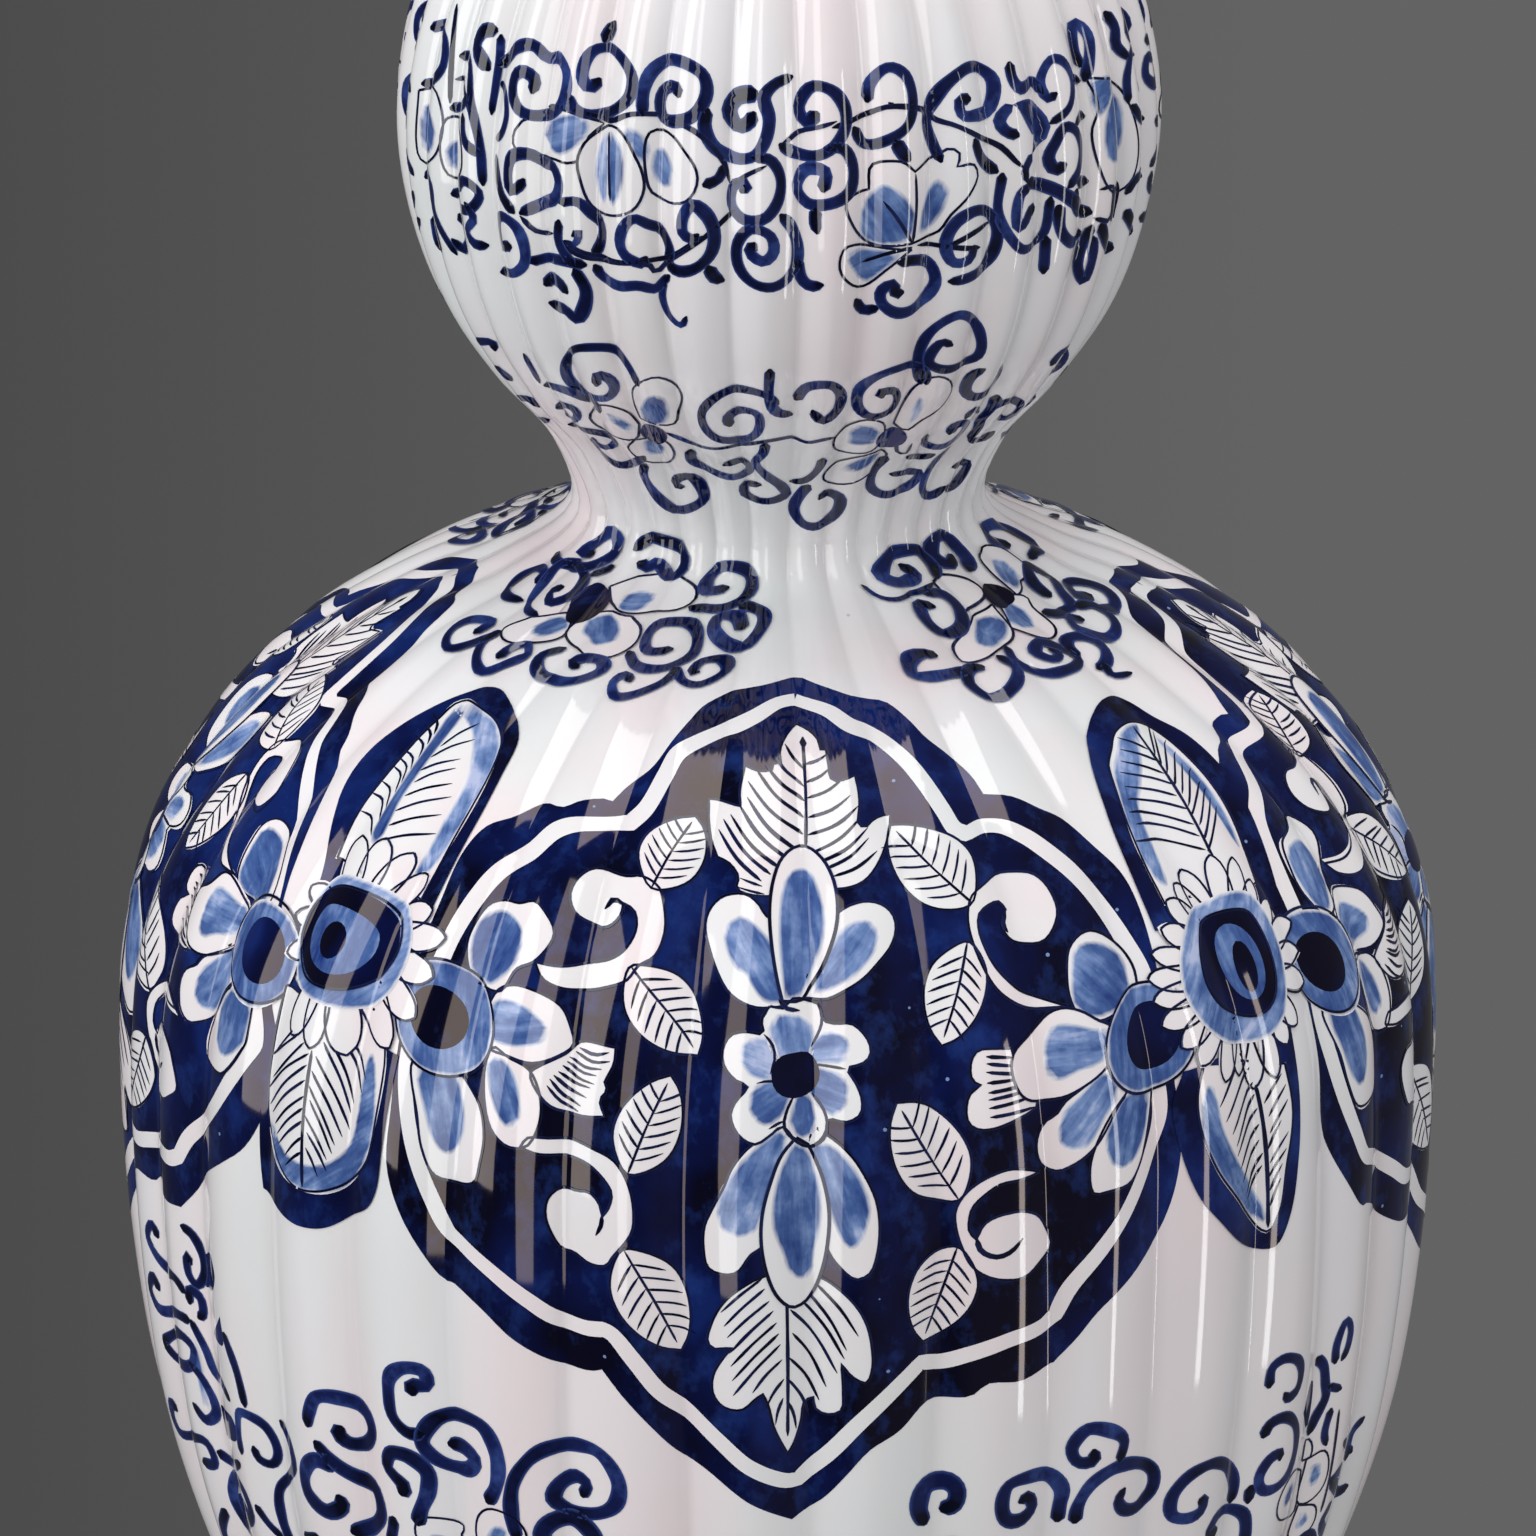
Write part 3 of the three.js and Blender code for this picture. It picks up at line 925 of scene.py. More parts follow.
# Cartouches
# Four large shaped panels round the belly and shoulder. Each has a broad cobalt border, a white line,
# and a cobalt ground round a tulip, a rosette and a hanging flower, with volutes and veined leaves.
CARTOUCHE_EDGE = """
    1.5,77.5* 6,75 11,71.7 15,71 19,66.5 22,62 26,57.5 30,52.5 31.8,48.7* 36,48 42,44 47,40.5 52,35 57,29
    60,22 62.5,12 64,5 65,-5 66.3,-20 63,-32 58,-37 50,-43 46,-48 42.5,-52* 36,-53.5 30,-52.8 27,-55 20,-55.5
    15,-60 10,-63 6,-68 2,-73 -3,-76.8* -10,-73 -17,-67.5 -22,-64.5 -27,-59 -32,-53 -34.8,-49.5* -37,-50.3
    -43,-50 -50,-46.5 -56,-42 -62,-39.3 -64,-39 -68,-34 -72,-27 -74,-20 -73,-10 -72,-2 -70,8 -67,18 -64,25
    -60,34 -55,40 -50,42.5 -45,45.5 -41,46 -37,48.3 -33,49 -32,48.5* -30,51 -25,56 -21,62.5 -18,67 -15,71
    -8,75 -3,76.8"""
CARTOUCHE_LINE = """
    0,71.8* 5,70 9,66 14,62.5 18,58 21,53 24,47 26,43 28,41.8* 34,42.2 38,40 42,36.5 48,30.5 53,24 57,17.5
    60,11.5 61,5 62,-5 62.5,-12 60,-18 55,-26 50,-32 45,-38 42.5,-43* 40,-44.5 33,-45.3 27,-47 22,-48.5
    18.5,-48* 14,-52 8,-58 3,-64 -2,-69* -4,-69 -10,-66 -15,-61.5 -20,-57 -25,-53 -29,-47.5 -33,-42.5
    -34.5,-42* -38,-42.5 -43,-41.8 -48,-38.5 -54,-34.5 -60,-31.5 -63,-30 -66,-24 -68.5,-17 -69.8,-10 -70,-3
    -68,5 -64,14 -61,20.5 -57,27 -53,32 -47,36.5 -42,41.5 -38,43.5 -31,44 -29,44.5* -26,48 -22.5,55 -20,60
    -16,63 -11,65.5 -7,68.5 -3,71.5"""
TOP_LEAF = """
    0,66.3* 2,65.2 3.4,63.5 3.8,61.2* 4.7,61.2* 5,58 5.3,55.2 6.2,54.7* 9.3,55.5* 9.7,53 9.8,50 9.3,46.4*
    10.4,45
    12.2,46.3 15.2,46.7* 15.1,44.6 13.8,40.5 12,37.4 10,35.4 7.5,34.4 5,34 -6,33 -11,34.2 -10.7,36.4
    -12.2,38.6
    -14.2,39.3* -15.2,42 -15.6,46 -15.4,50.4* -12.6,50 -9.9,49.6* -10,52.4 -9.5,55.4 -8.9,57.9* -6.4,57
    -4.5,57.2* -4.3,58.3 -2.9,58.5* -3.1,60.6 -2.4,63 -1.2,65"""
BOTTOM_LEAF = """
    -3.8,-63.8* -4.9,-61.5 -6.1,-58.5 -7,-54.4 -7.9,-52* -9.1,-52.9 -11.4,-55 -14.4,-54.7 -16.1,-52.6
    -16.1,-49.1
    -14.4,-45.6 -12.9,-43.5* -15.8,-44.1* -17,-43.2 -16.4,-39.7 -14.4,-35.6 -11.4,-32.6 -7.3,-30.5 1.8,-31.6
    4.5,-33.2 7.4,-36.2 9.2,-39.7 10.1,-44.4 10.1,-47.9 9.2,-50.3 6.8,-49.1 5.1,-46.8* 5.4,-52 5.1,-55.6
    2.7,-56.5 0.9,-55.6 0.6,-53.5* -1,-54.4 -1.6,-58 -2.8,-62"""
TOP_LEFT_VOLUTE = """
    -45.5,18.6* -44.4,16.1 -41.4,14.6 -37.3,14.4 -33.2,15.8 -29.6,17.6 -27.6,20.2 -24.9,22 -23.2,26.1
    -23.2,30.8
    -24.1,34.1 -26.7,35.5 -29.6,34.9 -32.3,34.9 -35.5,35.4 -37.9,33.8 -39.4,30.8 -38.8,27.6 -36.1,25.6
    -34.1,25.2
    -32,26.4 -30.8,27.9* -29.9,30.2* -28.2,29.4 -27.8,26.7 -29.4,23.2 -32,20.8 -36.1,19.1 -40.8,18.2"""
TOP_RIGHT_VOLUTE = """
    44.5,9.9* 41.5,9.9 38,10 34.5,12 31.5,14.9 29.2,19.1 27.4,24.4 27.1,27.9 28,30.8 30.9,32.3 33.3,33.2
    35.6,33.5
    38.6,33.2 40.4,32 42.1,29.6 43.2,26.1 42.4,23.2 40.6,21.1 38,20.8 35.6,21.4 33.9,23.5 33.6,25.5
    34.7,26.8* 33.3,28.5 30.9,28.5 29.2,27.6 28.9,25.2 29.8,22 31.5,18.5 34.5,14.9 36.8,12.9 40.4,11.4"""
BOTTOM_LEFT_VOLUTE = """
    -48.5,-12* -47.3,-10.3 -43.8,-10.2 -39.6,-10.1 -36.1,-10.7 -32.6,-11.8 -30.8,-13.8 -29.6,-16.8
    -29.1,-20.3
    -29.4,-23.8 -30.8,-26.2 -32.6,-28.5 -33.8,-30.3 -36.7,-30.6 -39.6,-29.4 -42,-29.1 -43.8,-26.2 -44.6,-23.2
    -44.1,-20.3 -42,-18.5 -39.1,-18.5 -36.7,-18.2 -35,-19.6 -34.4,-22* -33.1,-19.8 -32.7,-17.4 -34.1,-15.3
    -36.7,-13.5 -40.8,-12.9 -45.5,-12.9"""
BOTTOM_RIGHT_VOLUTE = """
    39.2,-16.8* 36.2,-15.6 33.3,-14.9 30.4,-15.3 27.4,-16.8 25.4,-18.8 24.2,-21.5 24.5,-25 25.4,-27.9
    26.8,-30.9
    29.2,-32.9 32.7,-34.1 36.2,-34.4 39.2,-32.6 41.5,-30.3 40.1,-26.2 38.6,-24.1 35.6,-22.6 33.3,-22.4
    30.9,-22.6 28.8,-23.8 27.6,-26.4* 26.5,-25 26.4,-23 27,-20.6 29.2,-18.4 31.5,-17.1 35.6,-17.1"""
SMALL_LEAVES = (
    ((-25.2, 33.6), (-17.6, 47.2), 5.3), ((28, 29.6), (15, 44.6), 6.2), ((26.8, 23.4), (22.2, 6.2), 5),
    ((-28.9, 20), (-18.2, 5.4), 5.6), ((-30, -14), (-22.8, 2.2), 5.2), ((-30.8, -27), (-21.6, -45.4), 5.9),
    ((24.8, -19.4), (14.2, -2), 6), ((24.6, -27.6), (18.8, -44.2), 5.7),
)


def volute(field, rim, eye):
    """A white scroll reserved in the ground, with a fine line that curls into its head."""
    field.petal(rim)
    field.line(eye, 0.9, tips=(0, 2))


def tulip(field):
    """The upright flower in the middle, with a wash on each of its three petals."""
    field.petal(
        "-4,14.2* -8.5,14.3 -11.5,15.5 -13.2,17 -14.8,20 -16,23.5 -16.6,26.5 -16,29.3 -14,32 -12,33.1"
        " -9.5,33.3 -7.6,31.8 -6.4,29.6 -4,28 -2.6,20 -2.4,15.5*",
        "-10.4,29.8* -12,28.8 -13.3,27.6 -13.6,25 -12.8,22.3 -11.6,20.4 -10,19.6 -9,17.4 -6.8,14.9 -3.4,15"
        " -3.4,18 -4.4,23 -6.8,27 -8.8,29", (-5, 15, -12, 29), 0.1)
    field.petal(
        "-1,15* 3,15 6,16.6 9,18.6 11.6,21 14,23.5 15,26 14.6,28.6 12.6,30.8 10,31.7 7.4,31.2 5.2,29.6"
        " 3,26.5 1.6,22.5 0,18.5",
        "-0.6,15.2* 3.4,16.2 6.6,18 9.4,20.4 11.6,23.4 12.1,26 11.2,28 8.6,28.8 6.2,27.6 4.2,24.8 2.6,21"
        " 0.4,17.4", (1, 15, 10, 28), -0.05)
    field.layer += 1
    field.petal(
        "-4.2,15* -5,19 -5.7,25 -5.8,31 -5,36 -3.6,39.5 -1.6,41.2 1,41.2 3.2,39.4 4.8,36 5.4,32 5.2,28"
        " 4,23.6 2.2,19.4 0.2,16.4 -1,14.8",
        "-4,15.4* -4.5,20 -4.7,26 -4.4,31.5 -3.3,35.8 -1,37.5 1.4,36.8 2.8,33.4 3.6,29 3,24.4 1.4,20"
        " 0,16.6 -1.4,15", (-1, 16, -1, 37), 0.15, 0.6)


ROSETTE = """
    -6.2,14.4 -4.2,13.8 -2.4,15.3 0,14.6 1.9,14 2.5,11.6 3.4,11.2 5,11.2 7,11.3 8.7,10 9.9,8 9.9,6 8.6,4.8
    6.3,4
    7.6,1.6 8.5,-1 8.2,-3.4 6,-4.7 3,-4.5 2.7,-7.2 0.5,-9.2 -1.6,-8.6 -3,-7.2 -4.6,-5.2 -6.5,-6.5 -9,-7.9
    -11.5,-6.6 -12.9,-3.5 -12,-1 -10,1.5 -12,2.4 -13.8,4.5 -14,7 -12.6,9.6 -10,10.3 -7.4,10 -7.6,12.2"""


def rosette(field):
    """The round flower under the tulip, six petals about a dark eye."""
    field.petal(ROSETTE)
    for rim, along, shade in (
        ("-6,12.6 -3.5,13.1 -1,12.3 0.9,10.5 1.2,8.3 0,4.6 -4,4.4 -6,6.6 -6.9,9.4", (-2, 5, -3, 13), -0.3),
        ("1.7,9.4 3,10 5,9.9 6.7,8.5 6.9,6.2 5.5,4.7 3,4.4 -0.4,4 0.4,7.4", (0, 6, 9, 8), -0.2),
        # This petal's wash is paler than the rest: a painted reflection of the lights to the left on the
        # glaze.
        ("-6,9.2 -8,9.8 -10.5,8.8 -11.4,6.4 -10.4,3.7 -8,2.5 -4.4,2.6 -5,6", (-5, 4, -12, 7), -0.5),
        ("-4,2.4 -8,2.2 -9.6,0.8 -10.1,-2 -9.2,-4.1 -7.2,-5.1 -5,-4.5 -3.6,-2"
        " -2.6,0.4", (-4, 0, -12, -5), 0.1),
        ("-0.4,3.6 4,3.7 6.2,2.5 6.6,0 5.7,-3 3.6,-4.1 2.4,-3.4 0,-1", (0, 1, 7, -1), 0.0),
        ("-2,0 -3.5,-3.5 -3.5,-6 -2,-7.7 -0.3,-7.9 1.1,-6.5 1.3,-4.4 0,-0.6", (-2, -1, -1, -9), 0.15),
    ):
        field.fill("wash", rim, along, shade, step=0.9)
    for edge in ("-7.3,10.2 -7.7,12 -6.3,14.2", "2,14 2.4,11.5 1.6,9 0.4,7",
                 "-7.3,9.9 -6,8.2 -5.6,6 -6.4,3.4",
                 "0.8,4.2 4,4.1 6,3.9", "-2.6,-0.4 -3.9,-3 -4.3,-5.4 -2.9,-7.5 -0.4,-9.2 1.7,-8.2 2.9,-5.6"
                 " 2.4,-3 0.4,-0.4",
                 "-8.6,2 -6.4,2.3 -5,1.6", "-6.8,-5.5 -5,-4.6 -4.2,-4.4"):
        field.line(edge, 0.5)
    field.layer += 1
    field.fill("core", "-6,4.6 -4.6,6.1 -2.4,6.4 -0.2,6.2 1.4,4.6 1.8,2.4 1,0.4 -1,-0.8 -3.4,-0.8 -5.4,0.4"
               " -6.2,2.4")
    field.line("-4.8,15.4 -3.6,13.8 -1.4,13.1", 0.7)


def hanging_flower(field):
    """Three long petals that hang from the rosette."""
    field.petal(
        "-3.4,-4.8* -8,-7 -10.6,-9 -12.8,-12 -14.2,-15.4 -16,-19 -17.4,-22.4 -17.6,-26 -16.8,-29.6 -14,-30.4"
        " -12,-29.8 -9.8,-26.6 -7.6,-25 -6,-20 -5,-14.5 -3,-10 -1,-7.8",
        "-5,-5.8 -9,-8.3 -12.4,-12 -14.8,-16 -15.6,-20 -14.4,-22.8 -11.6,-23.8 -9,-22.8 -7.4,-19"
        " -6,-14 -4,-9.8 -3,-8", (-6, -7, -12, -24), -0.25)
    field.petal(
        "1,-6* 4.6,-8.2 7,-10.6 9,-13.8 10.6,-17.6 11.2,-22 10.8,-27 9.6,-30.4 7.4,-31.4 5,-29.6 3,-26.8"
        " 1.2,-20 0.4,-14.6 -1,-10.6 -0.6,-8.8",
        "1,-8.4 3.8,-8.6 6.8,-11.4 9,-15 9.9,-19 9.3,-22.8 7.8,-25.8 6,-26 4.6,-23.8 2.8,-19 1.4,-14"
        " -0.2,-11", (2, -9, 7, -26), 0.05)
    field.layer += 1
    field.petal(
        "-2.4,-7.4* -4.8,-10 -6.8,-15 -8,-20 -8.1,-25.4 -7,-31 -5.4,-34.6 -3.2,-36.6 -1.4,-36.2 0.4,-34.2"
        " 2,-30 2.9,-25 3.1,-19.6 2.2,-14.6 0.8,-11 -0.4,-8.8*",
        "-2.6,-8 -4.6,-11 -6.2,-16 -6.5,-22 -4.8,-27 -3.7,-30.4 -1.4,-32 0.6,-31 0.8,-28 1.8,-23 2.1,-17.4"
        " 1,-12.6 -0.6,-9.4", (-2.5, -9, -2.5, -32), 0.1, 0.6)


def right_side_flower(field):
    """Half a flower at the panel's right edge: a veined leaf, washed petals and a dark eye."""
    field.petal("34,4.6* 31,5.2 28,5.3 26.8,3.5 27,0.5 28.4,-0.3* 26.4,-2 26.2,-6.2 28,-7.6 34.5,-7 39,-5.6"
                " 36,-2")
    field.hatch("29.2,4.3 29.8,-5.9", "34.2,3 38,-5.2", 8, 0.65)
    field.petal("44.4,16 45,19.4 47,21.1 49.2,21.3 51.4,20.4 54,18.6 57,15.6 58.7,12 58.6,8.6 55,7.2"
                " 49.8,6.6 46.4,8 44.7,11.4",
                "45.1,17.4 46,19.4 48.6,19.8 51.6,19 54,17.4 56.8,14.6 57.6,11 57.9,8.6 55,7.4 51,7 48,7.4"
                " 45.5,9.2 44.8,13", (57, 8, 47, 18), 0.2)
    field.petal("52,0* 47,-3.4 43.6,-5.8 42.4,-7.6 40,-9.2 38.8,-11 38.6,-13.4 39.6,-15.8 42.4,-17.3"
                " 45,-16.4 47,-15.2 49.4,-13 53,-8 55,-6",
                "50.6,-1.6 46,-4.6 43.4,-7 42.5,-10 42.8,-12.6 44.5,-14 47.5,-13.7 49,-12 51,-9 53.6,-5.8",
                (52, -2, 43, -13), 0)
    field.petal("55.4,-5.8* 52,-8.6 49.6,-12 48,-16 47.9,-20 48.6,-21.8 51,-21.8 55.4,-21.4 57.6,-19"
                " 59.6,-14 60.9,-9 60.9,-6",
                "54.8,-6.4 51.7,-9.6 50.4,-13 51,-16.4 53.6,-18.7 56.6,-17.8 59,-14.6 60.4,-10 60.4,-7",
                (57, -6, 54, -18), 0.2)
    field.layer += 1
    field.petal("33.9,1.4 34.5,3.8 38.4,6.2 41.2,9 43.6,9.7 46.6,8.8 49.6,6.8 52.4,5 52.6,1 51,-1 47,-3.4"
                " 43,-5 38,-4.9 35.4,-3",
                "41,6.4 43,7.3 46,6.9 49,5.8 52,5 52,1 49,-0.6 46,-1.1 43,-2.3 41,-1.7 40.2,1.5",
                (52, 3, 40, 3), -0.1)
    field.layer += 1
    field.fill("wash", oval(60.3, 1.4, 9.4, 8.9), (60, 2, 60, 9), 0.2)
    field.line(oval(60.3, 1.4, 9.4, 8.9), 0.5, closed=True)
    field.fill("core", oval(61, 1.5, 5.5, 5.6))
    field.layer -= 2


def left_side_flower(field):
    """Half a flower at the panel's left edge: a veined leaf, washed petals and a dark eye."""
    field.petal("-45.5,1.4 -40.8,3.8 -37.9,6.1 -31.7,6.4* -32,3.8 -33.8,0 -33.2,-0.6 -34.6,-2.6 -33.8,-5*"
                " -36.1,-5.6 -39.6,-5.9 -43.8,-4.7 -46.7,0.3")
    field.hatch("-38.6,4.9 -44.2,-1.4", "-32.6,5.4 -38.8,-5.2", 9, 0.6, bow=0.12)
    field.petal("-55,0 -55,-6 -53.6,-10 -50.6,-12.1 -47.6,-11.8 -46,-9.6 -45,-6 -45.4,-2 -47,1.1 -50.4,2.4"
                " -53.4,3.4",
                "-54.5,1.6 -51,1.9 -49.2,0.2 -48.2,-4 -48.6,-8 -50.5,-9.3 -52.6,-7.6 -54.2,-4",
                (-54, 2, -50, -9), 0.15)
    field.petal("-68.5,-1.5 -67.9,-10.3 -67.3,-15.6 -65.2,-20.3 -61.4,-20.9 -57.3,-19.7 -56.1,-16.2"
                " -55.2,-11.5 -56.1,-6.8 -59.1,-3.8 -62.6,-1.5",
                "-67.8,-2.1 -66.8,-9.7 -65.4,-14.6 -63.4,-16.6 -61,-15.4 -59.4,-12 -59.6,-6.8 -62,-2",
                (-64, -1, -62, -17), 0.05)
    field.petal("-55,3.2 -55,6.5 -54.4,10 -52.6,12.6 -49.1,14.2 -44.8,13.6 -41.4,11.5 -40,8 -39.6,5.2"
                " -42.4,3.2 -46.4,2 -50.4,2.6",
                "-54.6,9.6 -52,11.6 -48,11.6 -45,9.8 -43.5,7.8 -44.4,5.3 -48,4.3 -51,4 -55,4.6",
                (-54, 6, -43, 8), 0.05)
    field.petal("-54.4,26.4 -49.1,27.3 -45.5,28.5 -42.6,25.5 -42.3,23.2 -45.5,18.8 -49.1,16.7 -52,12.6"
                " -54.9,12 -57.9,13.2 -58.8,18.5 -57.3,22.6",
                "-58,13.8 -58.4,19 -57,23 -54,25.4 -49.4,25 -47.6,22.4 -48.5,18.5 -50.8,15.5 -55,12.4",
                (-57, 13, -50, 25), 0.2)
    field.layer += 1
    field.fill("wash", oval(-63, 6.2, 9.6, 9.6), (-63, 6, -63, 14), 0.1)
    field.line(oval(-63, 6.2, 9.6, 9.6), 0.5, closed=True)
    field.fill("core", oval(-64, 6.2, 5.2, 5.2))
    field.layer -= 1


def cartouche(field):
    """A whole panel, from the ground up to the finest lines."""
    field.fill("ground", CARTOUCHE_EDGE, step=1.6)
    field.layer += 1
    field.stroke("white", CARTOUCHE_LINE, 2.8, closed=True, sides=4)
    for rim, eye in (
        (TOP_LEFT_VOLUTE, "-30.8,27.9 -30,29.8 -31,30.4 -32.3,30.2 -33.2,29 -33.8,28.3"),
        (TOP_RIGHT_VOLUTE, "34.6,26.6 33.9,24.6 34.8,23"),
        (BOTTOM_LEFT_VOLUTE, "-34.4,-21.4 -34.6,-23.4 -35.6,-25.4"),
        (BOTTOM_RIGHT_VOLUTE, "27.6,-26 28.4,-28.4 31,-29.7 33.6,-29.2 35.8,-27.4"),
    ):
        volute(field, rim, eye)
    right_side_flower(field)
    left_side_flower(field)
    for base, tip, half in SMALL_LEAVES:
        field.leaf(base, tip, half)
    field.petal(TOP_LEAF)
    field.line("0.6,41 1,50 1,62.5", 0.55)
    field.line("1,61 1,63.6", 1.3, tips=(1, 1))
    field.hatch("0.8,57 0.3,43.5", "-2.6,62.4 -8.2,55.2", 5, 0.62, bow=-0.06)
    field.hatch("-0.9,40.4 -6.9,35.6", "-9.2,51.6 -14.2,44.2", 5, 0.7, bow=-0.06)
    field.hatch("-6.9,34.8 -6.6,33.6", "-10.6,36 -11,34.4", 2)
    field.hatch("1.3,57.6 1,43.4", "4.4,61 9.2,49.3", 5, 0.62, bow=0.06)
    field.hatch("1.6,40.2 5,36", "9.4,47.4 12,40.4", 4, 0.6, bow=0.05)
    field.petal(BOTTOM_LEAF)
    field.line("-4,-33 -3.8,-48 -3.8,-60.5", 0.6)
    field.hatch("-8,-31 -4.8,-43", "-14.8,-37 -12.4,-52.2", 7, 0.55, bow=0.03)
    field.hatch("-4.6,-46.4 -4.4,-53", "-9,-52 -5.8,-57.6", 3, 0.55, bow=0.05)
    field.hatch("1.2,-32.8 -3.3,-37", "7.6,-41.6 3.8,-48.6", 4, 0.55, bow=-0.05)
    field.hatch("-3.5,-41.4 -3.9,-54", "2.8,-51 -2,-59.4", 4, 0.55, bow=-0.05)
    field.layer += 1
    hanging_flower(field)
    field.layer -= 1
    tulip(field)
    rosette(field)


CARTOUCHE_LEVEL = 238.7
for name, meridian, rise, wide, tall, loose, taper in (
    ("front", 0, 0, 1, 1, 0, 0),
    ("right", 84.2, -4.5, 0.97, 1.04, 0.35, 0),
    ("back", 180, 0, 1, 1, 0.35, 0),
    ("left", -85.4, 4.6, 1, 1.01, 0.35, 0.007),
):
    panel = Field(f"cartouche_{name}", meridian, CARTOUCHE_LEVEL + rise, wide, tall, loose, taper=taper)
    cartouche(panel)
    panel.finish()

# Leaf flowers
# Between the cartouches stands a round flower with a leaf above and a leaf below. Each leaf is reserved
# in a broad cobalt border, and the flower has bare petals round a washed ring with a dark eye. A petal
# is drawn through places along it and across it, with 1 at its corner.
SUN_PETAL = (
    (0.5, 0.7, 0), (0.78, 1, 0), (0.94, 0.62, 0), (1, 0, 1), (0.94, -0.62, 0), (0.78, -1, 0), (0.5, -0.7, 0),
)


def sun(field, tips, halo, disc, inner, eye):
    """Bare petals out to their tips, a washed halo, a cobalt disc with a lighter middle and a dark eye."""
    middle = pts(disc)[:, :2].mean(0)
    field.layer += 1
    for x, y, half, _ in pts(tips):
        way = np.array([x, y]) - middle
        length = np.hypot(*way)
        way = way / length
        square = np.array([-way[1], way[0]])
        rim = np.array([[*(middle + way * length * share + square * half * out), 0, corner]
                        for share, out, corner in SUN_PETAL])
        field.fill("white", rim)
        field.line(rim, THIN_LINE, closed=True)
    field.layer += 1
    field.fill("wash", halo, (*middle, *(middle + 1)), -0.12)
    field.layer += 1
    field.fill("core", disc)
    field.layer += 1
    field.fill("wash", inner, (*middle, middle[0], middle[1] + 5), 0.25, soft=False)
    field.line(disc, 0.5, closed=True)
    field.fill("core", eye)


def left_leaf_flower(field):
    """The flower left of the front cartouche, with broad leaves."""
    field.fill("ground", """-13.5,5* -14.5,12 -17,20 -19,28 -18.5,34 -16,40 -13,45 -10,49 -6,52.5 -2.5,53.5
               1,51.5 5,47.5 8.5,44.5 10.5,38 12,30 12.3,20 12.3,11.5*""")
    field.fill("ground", """-13,-8* -14,-25 -14,-40 -13.5,-46.5* -8,-48.2 -3,-48.6 3,-47.6 9,-44 13.5,-41
               15.5,-37 16.2,-31 16.3,-22 16.2,-13.5*""")
    field.layer += 1
    field.petal("""-12.8,13* -13,20 -12.4,28 -11.6,36 -10.6,43 -9.4,47.6 -5,49 0.5,48.2 4,45 7.4,38 9.2,30
                9.6,20 9,12*""")
    field.petal("""-12.8,-10* -13,-25 -12.4,-33 -9,-38.6 -4,-41.4 2,-41 8,-38 12.4,-33 14,-25 13.8,-14
                10,-8*""")
    field.band("wash", "-9,46 -5,47.2 0,46 3.4,42 6.2,36 7.2,28 7,20 5.6,14.5", 4.4, -0.25)
    field.fill("wash", "-9.4,46 -5.8,46.6 -5,38 -4.4,28 -3.8,18.4 -6.6,18.6 -7.6,28 -8.8,38",
               (-7, 45, -4, 18), 0.5)
    field.band("wash", "-11.6,-33.6 -8,-38 -3,-39.2 3,-38.4 8,-34.8 11.2,-29 11.6,-22 10.6,-14.5", 5.2, 0.1)
    field.line("-1.8,-17 -1.4,-30 -0.8,-41", 0.7)
    field.hatch("-5.4,39 -4,20", "-0.6,46 4.8,23.6", 8, bow=-0.06)
    field.hatch("-8.6,40 -7,20", "-11.8,44.6 -12.6,23.4", 9, bow=0.12)
    field.hatch("-2,-17.5 -1.6,-34.5", "-12.8,-28.4 -5.6,-39.4", 8, bow=0.03)
    field.hatch("-7.5,-15.5 -3.6,-16.4", "-12.9,-20.8 -12.9,-25.6", 3)
    field.hatch("-0.7,-18 -0.8,-33.5", "7,-29.6 2,-38.6", 7, bow=-0.04)
    field.hatch("4.6,-13.5 0.4,-15.5", "9.8,-20 7.4,-26.4", 4, bow=-0.05)
    sun(field, """-9.5,18.8,3.2 -2.8,20.4,2.9 3.6,19.4,2.5 8.4,16.4,2.2 12.8,11.4,2.3 17.4,7.4,2.5 18.2,1,2.5
        17.8,-6.4,2.7 14.2,-12.6,3 5.2,-16.9,3.1 -2.4,-16.9,2.5 -7.6,-16.3,2.5 -14.8,8,2 -15.4,2,2
        -14.8,-4.5,2""",
        "-13.2,-3 -13.4,6 -10.2,10.8 -4,12.6 3,11.8 8.4,9 11.6,4.6 11.8,-2 8.6,-7.4 3,-9.2 -4,-9.4 -10,-8",
        "-13,1 -12,6 -8,9.4 -3,10.6 3,9.8 7.4,6.8 9.4,2.6 7.6,-2.4 3.4,-5.4 -2,-6.6 -8,-6.2 -12,-3.2",
        "-10.4,2 -9,5.4 -5,7 0,6.8 3.8,4.6 4.4,0.8 1.8,-2.6 -3,-4 -7.6,-3.2 -10,-0.8",
        oval(-4, 1.3, 2.9, 3.3))


